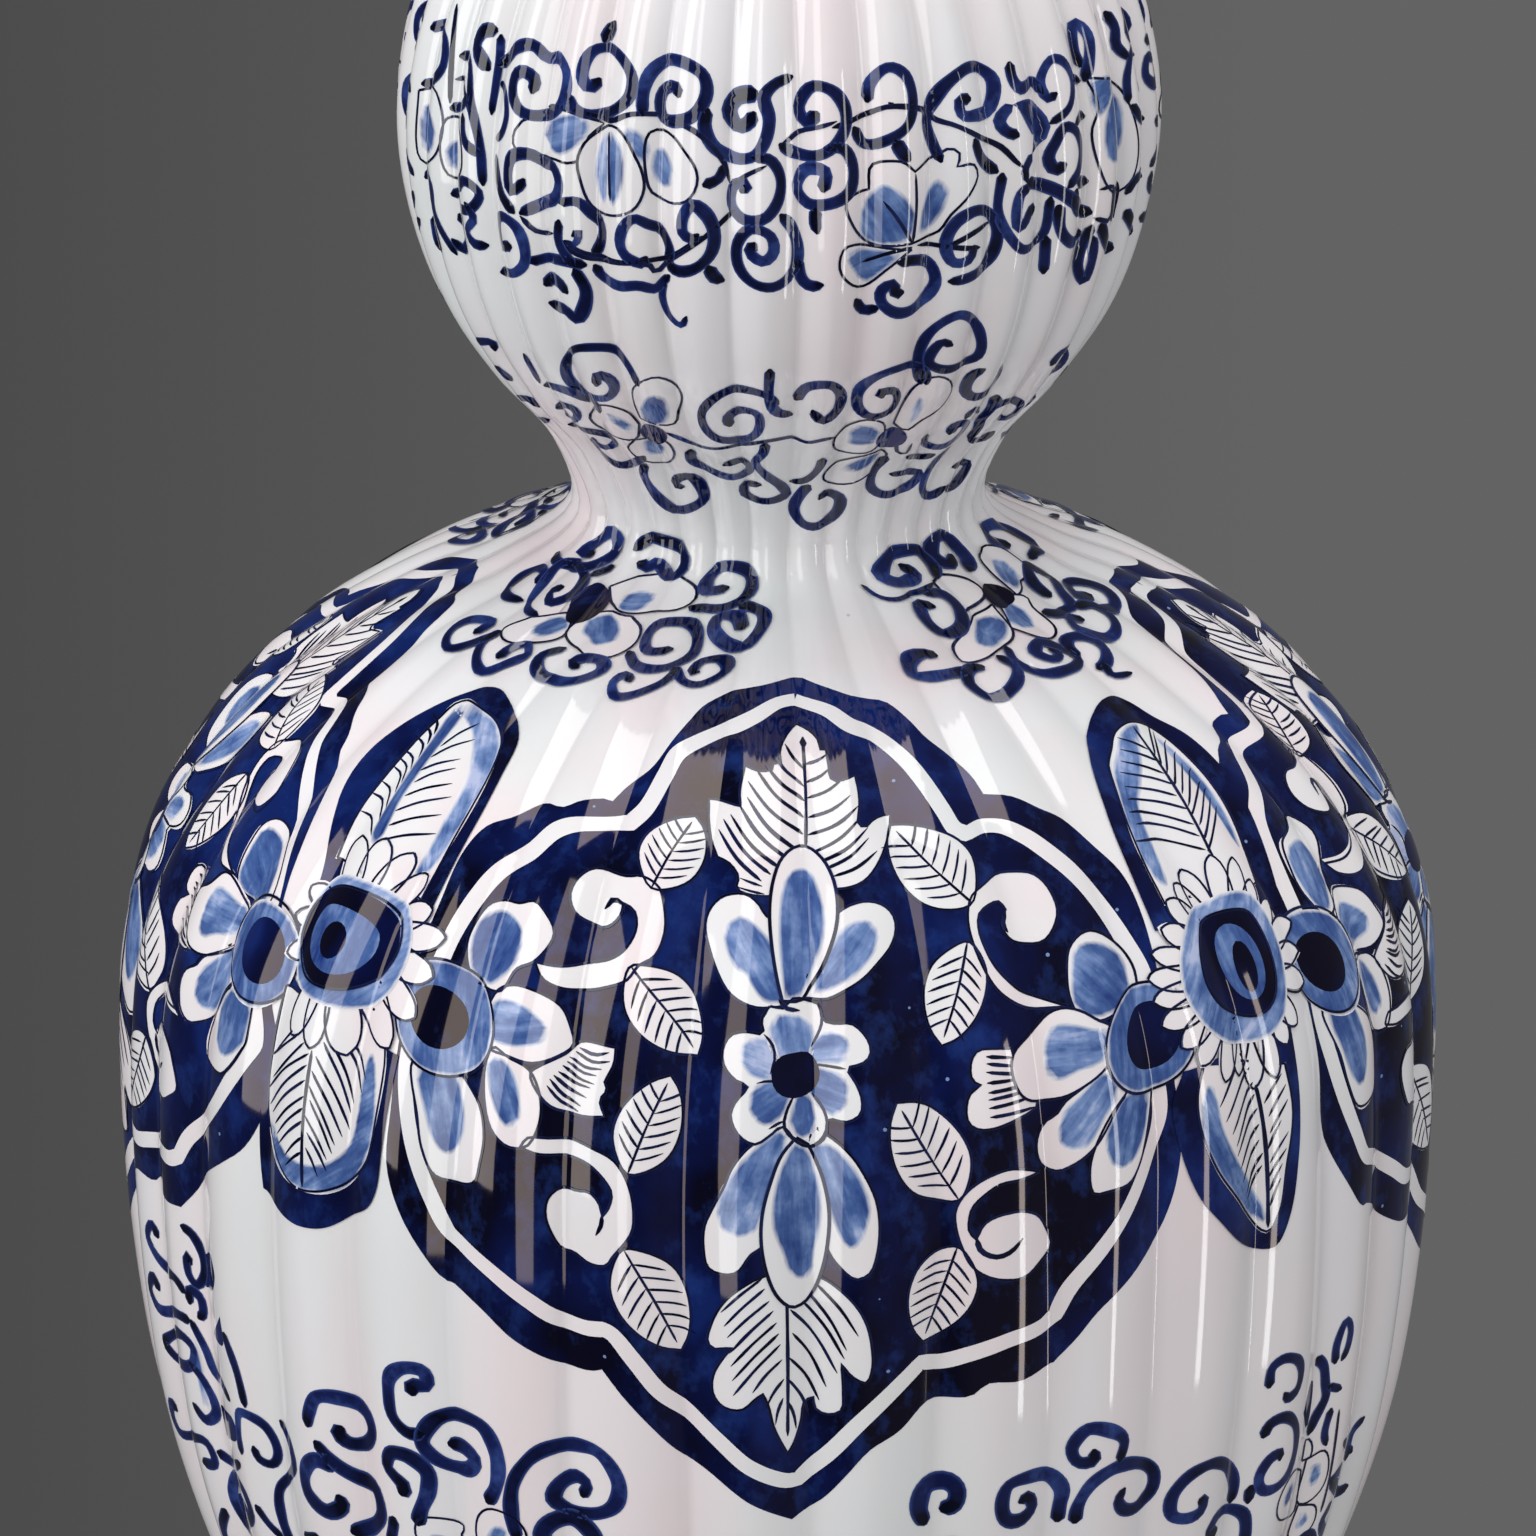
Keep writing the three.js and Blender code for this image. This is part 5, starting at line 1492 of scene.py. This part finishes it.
def bulb_right(field):
    """An open flower seen from the side, among thick curls."""
    field.petal("""-4,-4* -11,-3.5 -14,0 -15,4 -11,5.5* -10.5,9.5 -6,10 -3.5,8* 1,10 3,11 4.5,10 4,8* 7,8 8,6
                6,3 3,0 1,-3""")
    field.petal("-4,-5* -11,-4 -15.5,-4 -16,-8 -12,-11.5 -8,-8 -5,-5.5",
                "-5,-5.4 -11,-4.6 -15,-5 -13.5,-9 -11,-11 -8,-8", (-4, -5, -13, -8), 0.1)
    field.fill("wash", "-4,-4* -12,-3.4 -12.5,2 -9,6.5 -5.6,4.6 -3.2,0.5", (-4, -4, -10, 5), 0.3, step=0.9)
    field.fill("wash", "-3.2,-3.4* -2.4,1.6 0.5,6.2 2.6,5 2.2,1.6 -0.4,-2.4", (-3, -3, 1, 6), 0.25, step=0.9)
    field.line("-4,-4 -7,1 -9,3.6", 0.6)
    field.line("-4,-4 -3.4,2 -3.4,7.6", 0.6)
    field.line("-4,-4.6 -8,-5.2 -12,-7", 0.6)
    curls(field, 1.95,
          "-10.5,19.4 -9.7,22.6 -6.5,25.2 -3.7,23.5 -2.8,20 -3.7,16.3 -7,14 -11.5,12.8 -13.3,15.8",
          "7.3,18.4 5,18.6 5.2,16.2 8,15.6 11,15.5 12.4,18.5 12.3,21 10.3,22.8 6.8,23.4 3.5,21.8 1,19"
          " -0.6,15.5 0.2,12 1.6,8.6",
          "15.4,23.6 15.8,20.6 17.2,19 21.6,19 23.2,16.8",
          "26.8,4.8 24.8,4 23.8,6 25,8.6 26.6,10.8 29.2,9.8 31.2,6.4 30,3 27,0.6",
          "16.3,11.4 14,12.4 13.2,14.2 15.5,16.6 17.8,15.8,3 20.6,13.4,4.6 22,10.8,4 19.2,7.8 17.2,5.6"
          " 17.6,3.4",
          "20.3,-1.8 18.8,-1.6 17.4,-3.4 16,-4.2 15.6,-1.4 16.4,1.8 18.6,2.6",
          "7.4,-5.6 6.8,-7.8 3.6,-8.2 2.2,-4.8 4,-1 7.6,0.2 11.2,-1.2 12.6,-3.8 12.2,-7.8 10.4,-10.4 6,-11.4"
          " 3,-11.6",
          "-4.8,-12.4 -6.2,-12.6 -6.8,-10.8 -8.6,-12 -8.4,-14.2 -6,-16.2 -2.8,-16.2 0,-14.2 1.2,-11.4 0,-8.2"
          " -3.2,-7 -6.4,-7",
          "-12.8,-13.6 -11,-15.8 -8.6,-15")
    curls(field, 1.7, "25.5,16.8 24,16 22.9,18.4 23.7,21 25.2,22.4 27.8,21.2 29.6,18 28.2,14.4 24,11.8",
          "29.6,18.2 34,16.6", "29,10.6 31.6,11.4 34.4,10.6",
          "13.2,5.6 12.7,-1 15,-5.8 17.6,-8.2 23,-7.4 24.2,-0.4", "23.6,-7.4 23.8,-14.4")
    curls(field, 2.35, "-6.8,13.6 -5.8,11.5 -4.4,9.8", "7.3,12 8.8,8.4 12.5,5.4", "-6.6,19.2 -7.4,19.4",
          "17.6,3.6 24,1.2 28.6,-1.8 33,-5 35.8,-6", "25.4,-2 26.4,-7 29.4,-9.6 34.4,-9.2",
          "29.4,1.2 35,-0.2", "29.6,0 29,-2.6 31.6,-5")
    for stem in ("-17,16 -12,17 -7,18.8 -1,17.4 0.8,15.8 4,14.7 9.5,11.7 13,9.9 15.4,7.2 16.8,6",
                 "2.4,-5.6 6.6,-3.8 11.4,-2.8", "9,-6.6 3,-5.5 -3,-4.5"):
        field.line(stem, 0.9, tips=(1, 2))


def bulb_far_right(field):
    """A hanging flower with a dark heart."""
    field.petal("1.5,17* 8,15.5 12,13.5 15,8 16.3,2 15,-3 11.5,-5 5,-2.5 2.5,2 1.5,8 3,12",
                "3.5,7 4,3 7,1.5 11,1 13,5 12.5,11 9,14 5,12", (8, 14, 8, 1), 0.2)
    field.fill("wash", "1.6,12* 1.8,16.2 6,16.8 10,15 7,13 2.6,10", (9, 15, 2, 12), 0.1)
    field.layer += 1
    field.fill("core", "6,-2.4* 12,-3 12,-9.6* 7,-8.6")
    curls(field, 1.85, "1,19 0.4,22 1.6,26.4 3.4,24 2.6,20 1,16.6",
          "2.2,-8 0.8,-12 1.2,-16 2.8,-18.4 3.4,-14 2.4,-10",
          "14,10 14.4,14.6 17,18.2 23,16", "14.4,9.6 17.6,6.6 24,5", "12,26 13.4,23 13,20 15.6,17.2",
          "17,24 21,24 22.4,21.4 19,19.8 16.6,21.6 18,24", "13.6,-5.6 16,-3.4 20.4,-3.6 24,-5.4",
          "26,18 30,17 31,13 28,10 25,12 26,15 29,14", "27,4 31,3 34,6 33,10",
          "26,-4 30,-2 33,-5 31,-9 27,-8 27,-5", "29,24 33,24 35,20 33,17")
    curls(field, 2.35, "3.6,-8 7,-12.6 13,-15.4", "14,-8.6 17.4,-12 24,-15.4", "8,26.4 10,25",
          "19,11.8 20.4,11.2", "21.8,-10.4 23,-11.8", "25,-13 30,-14 34,-11")
    field.line("2.6,-2 6,-2.2 6,-8 2,-7", 0.8)


def bulb_far_left(field):
    """An open flower with long petals beside a small one."""
    field.petal("-21.6,11* -13,13.4 -10.4,9 -11,4 -13,1.4 -21,-1",
                "-20.5,9 -14,9.6 -11.8,6 -13,2.4 -18,1.6 -20.5,1", (-13, 2, -20, 8), 0.2)
    field.petal("-9.6,9 -6,9.4 -3.4,7 -2.6,3 -4.4,0.4 -9,-0.6 -10.6,3",
                "-9.4,5 -6,5.6 -4.6,3 -6,0.8 -9.4,0.8", (-9, 1, -5, 5), 0.1)
    curls(field, 1.8, "-9,19.6 -4,20 -1.6,14 1,7 1.6,0", "-9.4,10.8 -4,12.6 -2,15", "-3.6,11.4 -2,7 1.4,5.4",
          "-21,21.6 -17,23 -12.8,22 -12,17 -16,13.6 -21.4,12", "-20.4,-4 -17,-1.4 -14,-3 -13.6,-8 -9.6,-15",
          "-19.6,-10.6 -19.8,-17", "-15,-10 -13.8,-15.4", "-9,-4 -6,-3 -5,-8 -8,-13.6 -10,-12",
          "-5,-2 -2,0.4 1,-1.4 -1,-4.4 -5,-5.2", "-2.4,-3.4 -0.6,-6 -2.6,-8.6 -1,-10.6 1.6,-10.4",
          "-24,22 -28,24 -32,21 -31,17 -27,17 -26,20", "-23,-4 -27,-1 -31,-4 -30,-9 -26,-10 -24,-7",
          "-24,10 -28,12 -33,9 -32,4 -28,3 -27,6", "-23,-12 -27,-15 -32,-13")
    curls(field, 2.35, "-18.4,-5.4 -17,-8", "-8,-7 -6.6,-9")
    field.line("-9,15.6 -6,16.2 -2,13 1,8", 0.9)
    field.line("-11.6,28 -10.6,21 -9.6,11.6", 0.9)


BULB_LEVEL = 417.5
for name, turn in (("front", 0), ("back", 180)):
    for side, meridian, draw in (
        ("left", -20.5, bulb_left),
        ("middle", -0.3, bulb_middle),
        ("right", 20.3, bulb_right),
        ("far_right", 50.2, bulb_far_right),
        ("far_left", -53.2, bulb_far_left),
    ):
        band = Field(f"bulb_band_{name}_{side}", turn + meridian, BULB_LEVEL, loose=0.1)
        draw(band)
        band.finish()
for name, meridian in (("left", -91.5), ("right", 88.5)):
    sprig = Field(f"bulb_band_{name}", meridian, BULB_LEVEL, loose=0.1)
    blossom(sprig, 0, 4, 6, 50)
    curls(sprig, 1.8, "-5,17 -2,20 2,19 3,15 0,13 -2,15", "4,26 1,23 -2,25 -3,28",
          "-4,-7 -1,-4 3,-6 3,-10 0,-11 -1,-9", "3,-16 0,-14 -3,-16 -2,-19")
    sprig.finish()

# Lower scrolls
# Strong curls climb from the lower body between the points of the cartouches. Below them a stem winds
# round the body with a flower in every bend, as on such vases.


def left_scroll(field):
    """Curls and two flowers left of the cartouche's point."""
    curls(field, 2.8,
          "-7,27 -8,25.5 -6,24 -2.5,25 -0.5,28 -1.5,31 -6,32.5 -12,31.5 -14,28 -15,24.5",
          "9.5,38.5 9.3,40.5 12,41 11.5,43.5 8,43.5 5,41 4.5,37 5,33.5 8,31 11,31.5",
          "15,30 18.5,30.5 21,29 19.5,26.5 15.5,25.8 12,27.5 10.5,30 13,34.5 18,36.5 23,36 25.5,31 25,25"
          " 23,21",
          "5.5,18 6.5,20 4.5,21.5 3,23 4,26 7.5,26.5 11,24 11,20 9.5,16 8.5,12.5",
          "3.4,13 2.6,10 1.5,6")
    curls(field, 3.4, "-9.5,12.5 -8.8,10.5 -12,8 -16.5,10 -17,14 -14,18 -9,18.5",
          "-13.5,22 -9,18.5 -5,17 -1,16.5 0,12 -3,8 -8,5")
    curls(field, 2.2, "-50.5,41.5 -51.6,43 -51.5,39.5 -49.5,38 -47.5,40.5 -47.5,44.5 -50,48 -53,48.5",
          "-50,31 -48.5,32.5 -49,35.5 -51.5,36 -52,33", "-38,34 -34.5,28 -33,21",
          "-32,13.5 -31,11.2 -28,11 -26.5,14 -28.5,18.5 -32,19.5 -35,19 -36,15 -36,10",
          "-25.5,21 -22,18 -21,14 -24,10 -27,6 -27.5,0 -26.5,-6",
          "-52,30 -49,26 -46,21 -42,21.5 -38,20", "-54,21 -50,19 -47,13 -50,10 -54,12",
          "-69,38 -71,40 -73,37 -70,34 -66,33 -60,35.5 -56,36.5 -52.5,35",
          "-70,27 -72,29 -74,26 -71,23 -66,24.5 -58,29 -52,30",
          "-71,16 -66,20 -56,25.5 -52,24.5 -53,20.5 -60,17.5 -66,14.5 -71,16",
          "-69,2 -71,3 -72,0 -70,-3 -66,-2 -57,3 -51,4.5 -49.5,1 -54,-1",
          "-48.5,4 -44,3.5 -37,7.5", "-34,0 -31,-3 -28,-5", "-21,-1 -15,1.5")
    field.band("wash", "-51.6,26 -50.4,19 -49.4,12", 2.6, 0.3)
    field.fill("ground", "-45,-10* -44.5,-4 -39.5,-2 -37,-5 -41,-10")
    field.fill("ground", "-47,38.5* -42.5,40 -40.5,44 -43,47 -46.8,45*")
    field.fill("ground", "-39,36.5* -38.5,31 -45,30* -41,34")
    field.fill("ground", "-46,15* -38,16.5 -37,12.5 -45,9*")
    field.petal("19,8* 16,11.4 17,14 12,15 8.5,14 8,10 12,7.4", "17,9 14,11.6 10.6,11 11,9", (18, 8, 9, 12),
                -0.2)
    field.petal("21,9* 20,14 21,18 23.6,20.2 28,19.5 30,16 27,11.4", "22,11 23,16 26,17.4 27,14",
                (21, 9, 25, 19), 0)
    field.petal("22,7* 28,9.5 33,8 34,4 29,2 24,4", "24,6.4 29,7.4 31.6,5.6 28,4", (22, 7, 33, 5), 0)
    field.petal("20,5* 24,1 23.4,-4 19.6,-6 16,-3 17,2", "20,3 21.6,-1 19.6,-3.6 18,-1", (20, 5, 20, -5), 0)
    field.petal("18,6* 13,6.6 8.6,4 9,0 13,-0.6 17,3", "16,5 12,4.6 10.6,2 14,1.8", (18, 6, 9, 2), 0)
    field.layer += 1
    field.fill("core", oval(20, 7, 2.6, 2.6))
    field.layer -= 1
    blossom(field, -27, -17, 9, 60)
    curls(field, 2.6, "1,-4 4,-2 8,-4 8,-9 4,-12 -1,-10 -5,-5 -12,-3 -20,-8",
          "-9,-14 -7,-18 -11,-22 -16,-19 -15,-13 -9,-9 -2,-13 3,-20",
          "-42,-4 -39,-6 -36,-3 -38,1 -43,1 -46,-4 -44,-10 -37,-14",
          "-45,-16 -41,-18 -43,-23 -49,-22 -52,-16 -49,-9", "12,-12 16,-10 19,-14 16,-19 10,-18 6,-13 5,-6")


def right_scroll(field):
    """Curls and two flowers right of the cartouche's point."""
    curls(field, 2.6,
          "-36,16.5 -35.6,20.3 -33.2,24.4 -29.1,26.2 -23.8,25 -20,22.1 -20,18.4 -23,16 -26.6,17 -28,19.4"
          " -26.6,21.4",
          "-10.5,13.5 -9,12.8 -9.5,11 -12,10.5 -15.5,12 -16,16 -13,19.5 -8,20 -3,17 0,12.5 0,8",
          "-7,4.5 -4,7.5 0,7 3,5 4,1 4,-4", "3.8,11 3.5,7")
    curls(field, 2.2,
          "5.4,30 5.9,34 8.4,35 12.4,33 13.9,30 12.9,27 9.9,26.5 8.9,28",
          "4.9,20 6.4,22.5 9.9,22.5 13.9,19 15.4,14 13.9,9.5 9.9,8 6.4,9 5.4,12 7.4,15 9.9,15 9.9,13.5",
          "21.4,29 23.4,27 24.4,23 24.9,20 22.9,16 21.7,13", "33,7 38,3 43,-1")
    curls(field, 1.8, "26.4,26 26.4,30 28.4,34 29.9,32 29.4,28 27.9,26", "24.9,22 28.9,20",
          "26.4,17 25.4,12 26.4,9", "41.5,-2 42,4 45,6")
    curls(field, 3.0, "-7,4 -3.4,4.4", "30,0 36,-5 41,-9 44,-9")
    field.line("28.9,16 28.9,0 28.4,-6", 0.7)
    field.band("wash", "33.5,6 38,4 42,1", 3, 0.2)
    field.fill("ground", "17.4,20* 20.9,25 20.9,15")
    field.petal("20.9,6* 15.9,8.5 12.4,6.5 11.4,3 12.9,0 16.9,-2 20.9,-3.5",
                "19,5.4 15,6 13.6,3.4 14.6,1.4 18,2.4", (20, 3, 11, 4), 0)
    field.petal("21.9,8* 25.9,8.5 27.9,5 27.4,0 23.9,-2 21.4,-1", "23,6 25.4,6 26,2 24,0.6 23,3",
                (21, 3, 28, 4), 0)
    field.petal("21.9,-2* 26.4,-4 26.9,-8 23.9,-10.5 20.9,-9", "22.6,-4 25,-5 24.6,-8 22.4,-7.6",
                (21, -1, 24, -10), 0)
    field.petal("20.9,8* 21.4,12.5 22.9,11 22.9,8", "21.5,9 21.8,11.2 22.3,9", (21.6, 8, 21.8, 12), 0)
    blossom(field, -14, -12, 9, 20)
    curls(field, 2.6, "-2,-8 1,-6 4,-9 2,-14 -4,-15 -8,-9 -6,-2",
          "-24,-4 -21,-6 -23,-10 -28,-9 -30,-3 -26,2 -20,2",
          "6,-14 10,-12 14,-16 11,-21 5,-20 2,-15", "33,-6 30,-9 33,-13 38,-11 39,-5 35,0 29,0",
          "22,-12 26,-10 29,-15 26,-20 20,-19")


SPIRAL_WIDTH = 2.4
SPIRAL_TURN = 7.6


def spiral(field, x, y, size, start, hand, stalk):
    """A curl round an eye, whose stalk runs off to a point."""
    share = np.linspace(0, 1, 9)
    turn = np.radians(start) + hand * share * SPIRAL_TURN
    radius = size * (0.16 + 0.84 * share)
    path = np.stack([x + radius * np.cos(turn), y + radius * np.sin(turn)], -1)
    field.stroke("curl", np.vstack([path, stalk]), SPIRAL_WIDTH * rng.uniform(0.9, 1.1), tips=(0, 3))


def winding_stem(field, bends, rise, size):
    """A stem that winds all the way round, with a flower or curls in each bend."""
    for meridian in np.linspace(0, 360, bends, endpoint=False):
        field.meridian = meridian
        half = math.radians(180 / bends) * radius_up(field.level)
        share = np.linspace(-1, 1, 9)
        stem = np.stack([half * share, rise * np.cos(math.pi * share)], -1)
        field.stroke("curl", stem, 1.2, sides=2)
        blossom(field, 0, rise * 0.1 - size * 0.35, size, 90)
        spiral(field, -0.52 * half, 0.9 * rise, 0.52 * size, 40, 1, [(-0.2 * half, 0.78 * rise)])
        spiral(field, 0.56 * half, 1.05 * rise, 0.46 * size, 140, -1, [(0.3 * half, 0.6 * rise)])
        spiral(field, half, 0.2 * rise, 0.62 * size, 200, 1, [(0.86 * half, -0.8 * rise)])
        spiral(field, 0.55 * half, -1.15 * rise, 0.5 * size, 300, -1, [(0.8 * half, -0.85 * rise)])
        spiral(field, -0.5 * half, -1.2 * rise, 0.46 * size, 220, 1, [(-0.82 * half, -0.9 * rise)])
        for x, y, way in ((0.3, 1.25, 60), (-0.85, -0.1, 200), (0.2, -1.3, 280)):
            root = (x * half, y * rise)
            bend, end = root + 2.4 * ray(way), root + 4.6 * ray(way) + 0.8 * ray(way + 90)
            field.stroke("curl", [root, bend, end], 2.6, tips=(0, 3))


def middle_scroll(field):
    """The largest curl, beside the point of the cartouche."""
    curls(field, 2.7,
          "-39,25 -38,27.9 -40,28.9 -43.2,26.4 -43.9,23.6 -41.4,21.8 -36.4,22.5 -32.9,25 -32.1,29.3"
          " -34.3,33.6 -36.8,35.2 -42.1,34.6 -46.4,32.9 -49.3,29.6 -50.9,25.7 -51.1,20 -50,15",
          "14,6 15.4,12 20,16.2 26.4,16.4 31,12.4 31,7 26.4,4 21.4,6 21,9.6 25,11",
          "43.6,17 43.9,20.3 44.2,23.8 42.1,26.8 38,27.9 33.9,27.4 32.7,23.8 33.6,20.6 36.4,19.8 38.6,21.6"
          " 37.6,24 35.8,23.4",
          "54.5,27 55.6,30.9 52.7,33.8 48.6,35 45.9,31.5 47,28.8 49.6,28.8 49.6,31")
    curls(field, 3.4, "-41,12 -43,13 -46,16 -44.5,19 -40,20.4 -36.5,18 -35.6,13 -38,9.5 -43,8.5",
          "22.4,23.4 24.8,24.8 25.1,27.6 23.3,29.3 19.8,28.4 18.7,24.4 20,20.6")


LOWER_LEVEL = 138.4
for name, turn in (("front", 0), ("back", 180)):
    for side, meridian, draw in (("left", -38, left_scroll), ("middle", 0, middle_scroll),
                                 ("right", 40, right_scroll)):
        scrolls = Field(f"lower_scrolls_{name}_{side}", turn + meridian, LOWER_LEVEL, loose=0.15)
        draw(scrolls)
        scrolls.finish()
stem = Field("lower_stem", 0, 84, loose=0.2)
winding_stem(stem, 9, 14, 10.5)
stem.finish()

# Foot border
# Upright leaves stand round the foot between painted rings.


def pointed_leaves(field, count, up, wide):
    """A row of pointed leaves, cobalt with a reserved line and a washed heart."""
    leaf = np.array([(-1, 0), (-1, 0.3), (-0.62, 0.7), (0, 1), (0.62, 0.7), (1, 0.3), (1, 0)])
    corners = np.array([[1], [0], [0], [1], [0], [0], [1]])
    rim = np.hstack([leaf * (wide, up), np.zeros((len(leaf), 1)), corners])
    for meridian in np.linspace(0, 360, count, endpoint=False):
        field.meridian = meridian
        field.fill("ground", rim)
        field.layer += 1
        field.fill("white", rim * (0.72, 0.72, 1, 1) + (0, 0.10 * up, 0, 0))
        field.fill("wash", rim * (0.5, 0.48, 1, 1) + (0, 0.2 * up, 0, 0), (0, 0, 0, up), 0.3)
        field.line([(0, 0.14 * up), (0, 0.62 * up)], 0.8, tips=(0, 2))
        field.layer -= 1


def ring(field, level, width):
    """A band of cobalt drawn while the vase turned under the brush."""
    steps = round(360 / ANGLE_STEP)
    angle = np.linspace(-180, 180, steps + 1)
    sway = 0.25 * np.sin(np.radians(angle * 3) + level) + 0.15 * np.sin(np.radians(angle * 11))
    broader = 1 + 0.12 * np.sin(np.radians(angle * 7))
    up = level + sway[:, None] + width / 2 * BRUSH_SIDES * broader[:, None]
    bm = bmesh.new()
    bmesh.ops.create_grid(bm, x_segments=len(BRUSH_SIDES) - 1, y_segments=steps, size=1)
    field.lay("curl", bm, zip(np.repeat(angle, len(BRUSH_SIDES)), up.ravel()))
    bmesh.ops.reverse_faces(bm, faces=bm.faces[:])
    load = 0.5 + 0.12 * np.sin(np.radians(angle * 5))
    field.add("curl", bm, 0.0, np.tile(BRUSH_SIDES, steps + 1), np.repeat(load, len(BRUSH_SIDES)), 0.0, 1.0)


foot_border = Field("foot_border", 0, 6)
pointed_leaves(foot_border, 18, 30, 11)
for level, width in ((3.5, 2.6), (41, 1.2), (45, 2.2)):
    ring(foot_border, level, width)
foot_border.finish()

# Neck painting
# The neck repeats the curls and pointed leaves on a smaller scale, with rings at its root and mouth.
neck_border = Field("neck_border", 0, 493)
pointed_leaves(neck_border, 12, 15, 5)
for level, width in ((487, 2.0), (490.5, 1.0), (552, 1.0), (556, 2.4)):
    ring(neck_border, level, width)
neck_border.finish()
neck_stem = Field("neck_stem", 0, 530, loose=0.1)
winding_stem(neck_stem, 5, 7, 6.2)
neck_stem.finish()

# Studio
# The vase stands on a pale round table top before a grey paper backdrop. Two soft lights stand to the
# left of the camera and a narrow strip to its right, and a wide light hangs over the vase, a little behind.
TABLE_FADE = (0.11, 0.2)
TABLE_DROP = 0.0002
TABLE_TONE = (0.42, 0.42, 0.42, 1)
TABLE_ROUGHNESS = 0.9
LIT_HEIGHT = 0.25
DAYLIGHT = (1.0, 0.98, 0.96)
# The paper is painted darker on the left and lighter on the right: painted light and shade across the
# backdrop.
PAPER_LEFT, PAPER_RIGHT = (0.064, 0.064, 0.064), (0.125, 0.125, 0.125)
PAPER_REACH = 0.13
CEILING_WAY = (0.45, -0.10, 0.88)
ROOM_DARKEST, ROOM_LIGHTEST = 0.27, 0.99


def table_top():
    """A disc that fades out towards its edge."""
    bm = bmesh.new()
    bmesh.ops.create_circle(bm, cap_ends=True, segments=96, radius=TABLE_FADE[1])
    mesh = bpy.data.meshes.new("table_top")
    bm.to_mesh(mesh)
    bm.free()
    made = bpy.data.objects.new("table_top", mesh)
    made.location.z = -TABLE_DROP
    bpy.context.scene.collection.objects.link(made)
    material, body, node = shader("pale_paper")
    body.inputs["Base Color"].default_value = TABLE_TONE
    body.inputs["Roughness"].default_value = TABLE_ROUGHNESS
    place = node("ShaderNodeTexCoord").outputs["Object"]
    distance = node("ShaderNodeVectorMath", {0: place}, operation="LENGTH").outputs["Value"]
    link(mapped(node, distance, *TABLE_FADE, 1.0, 0.0), body, "Alpha")
    mesh.materials.append(material)


def soft_light(name, azimuth, elevation, distance, size, power, colour=(1, 1, 1)):
    """A rectangular soft light turned to the belly. Azimuth 0 is the front and grows to the right."""
    light = bpy.data.lights.new(name, "AREA")
    light.shape = "RECTANGLE"
    light.size, light.size_y = size
    light.energy = power
    light.color = colour
    made = bpy.data.objects.new(name, light)
    around, up = math.radians(azimuth), math.radians(elevation)
    back = Vector((math.sin(around) * math.cos(up), -math.cos(around) * math.cos(up), math.sin(up)))
    made.location = back * distance + Vector((0, 0, LIT_HEIGHT))
    made.rotation_mode = "QUATERNION"
    made.rotation_quaternion = (-back).to_track_quat("-Z", "Y")
    bpy.context.scene.collection.objects.link(made)


def room():
    """Grey paper for the camera, reflections and whatever is seen through, and soft light for the rest."""
    world = bpy.data.worlds.new("studio")
    bpy.context.scene.world = world
    world.use_nodes = True
    node = node_maker(world.node_tree)
    seen = node("ShaderNodeLightPath").outputs
    way = node("ShaderNodeTexCoord").outputs["Generated"]
    right = node("ShaderNodeSeparateXYZ", {0: way}).outputs[0]
    # Painted light and shade: the paper's colour runs from darker at the left to lighter at the right.
    paper = blended(node, mapped(node, right, -PAPER_REACH, PAPER_REACH), PAPER_LEFT, PAPER_RIGHT)
    upward = node("ShaderNodeVectorMath", {0: way, 1: CEILING_WAY}, operation="DOT_PRODUCT").outputs["Value"]
    ceiling = mapped(node, upward, 0.0, 1.0, ROOM_DARKEST, ROOM_LIGHTEST)
    mirrored = worked(node, "MAXIMUM", seen["Is Camera Ray"], seen["Is Glossy Ray"])
    through = worked(node, "MAXIMUM", mirrored, seen["Is Transmission Ray"])
    link(blended(node, through, ceiling, paper), world.node_tree.nodes["Background"], "Color")


table_top()
soft_light("left_window", -25, 20, 1.6, (0.5, 3.0), 14, DAYLIGHT)
soft_light("left_strip", -70, 14, 1.5, (0.6, 1.7), 11)
soft_light("right_strip", 60, -6, 1.6, (0.14, 1.5), 4)
soft_light("overhead", 180, 80, 1.35, (0.84, 1.15), 12.2, DAYLIGHT)
room()

# Camera
# It looks down on the vase by 22 degrees from a metre away, a little to the left of the front.
CAMERA_ELEVATION = math.radians(22)
CAMERA_TURN = math.radians(-2.5)
CAMERA_DISTANCE = 1.008
AIM_HEIGHT = 0.2556
AXIS_RIGHT_OF_MIDDLE = 0.0018
camera = bpy.data.objects.new("camera", bpy.data.cameras.new("camera"))
bpy.context.scene.collection.objects.link(camera)
bpy.context.scene.camera = camera
camera.data.sensor_width = 36
camera.data.lens = 131.25
camera.data.clip_start = 0.05
camera.data.clip_end = 20
toward = np.array([math.sin(CAMERA_TURN) * math.cos(CAMERA_ELEVATION),
                   -math.cos(CAMERA_TURN) * math.cos(CAMERA_ELEVATION), math.sin(CAMERA_ELEVATION)])
camera.rotation_euler = (math.pi / 2 - CAMERA_ELEVATION, 0, CAMERA_TURN)
leftward = -np.array([math.cos(CAMERA_TURN), math.sin(CAMERA_TURN), 0])
camera.location = toward * CAMERA_DISTANCE + np.array([0, 0, AIM_HEIGHT]) + leftward * AXIS_RIGHT_OF_MIDDLE

scene = bpy.context.scene
scene.view_settings.view_transform = "Standard"
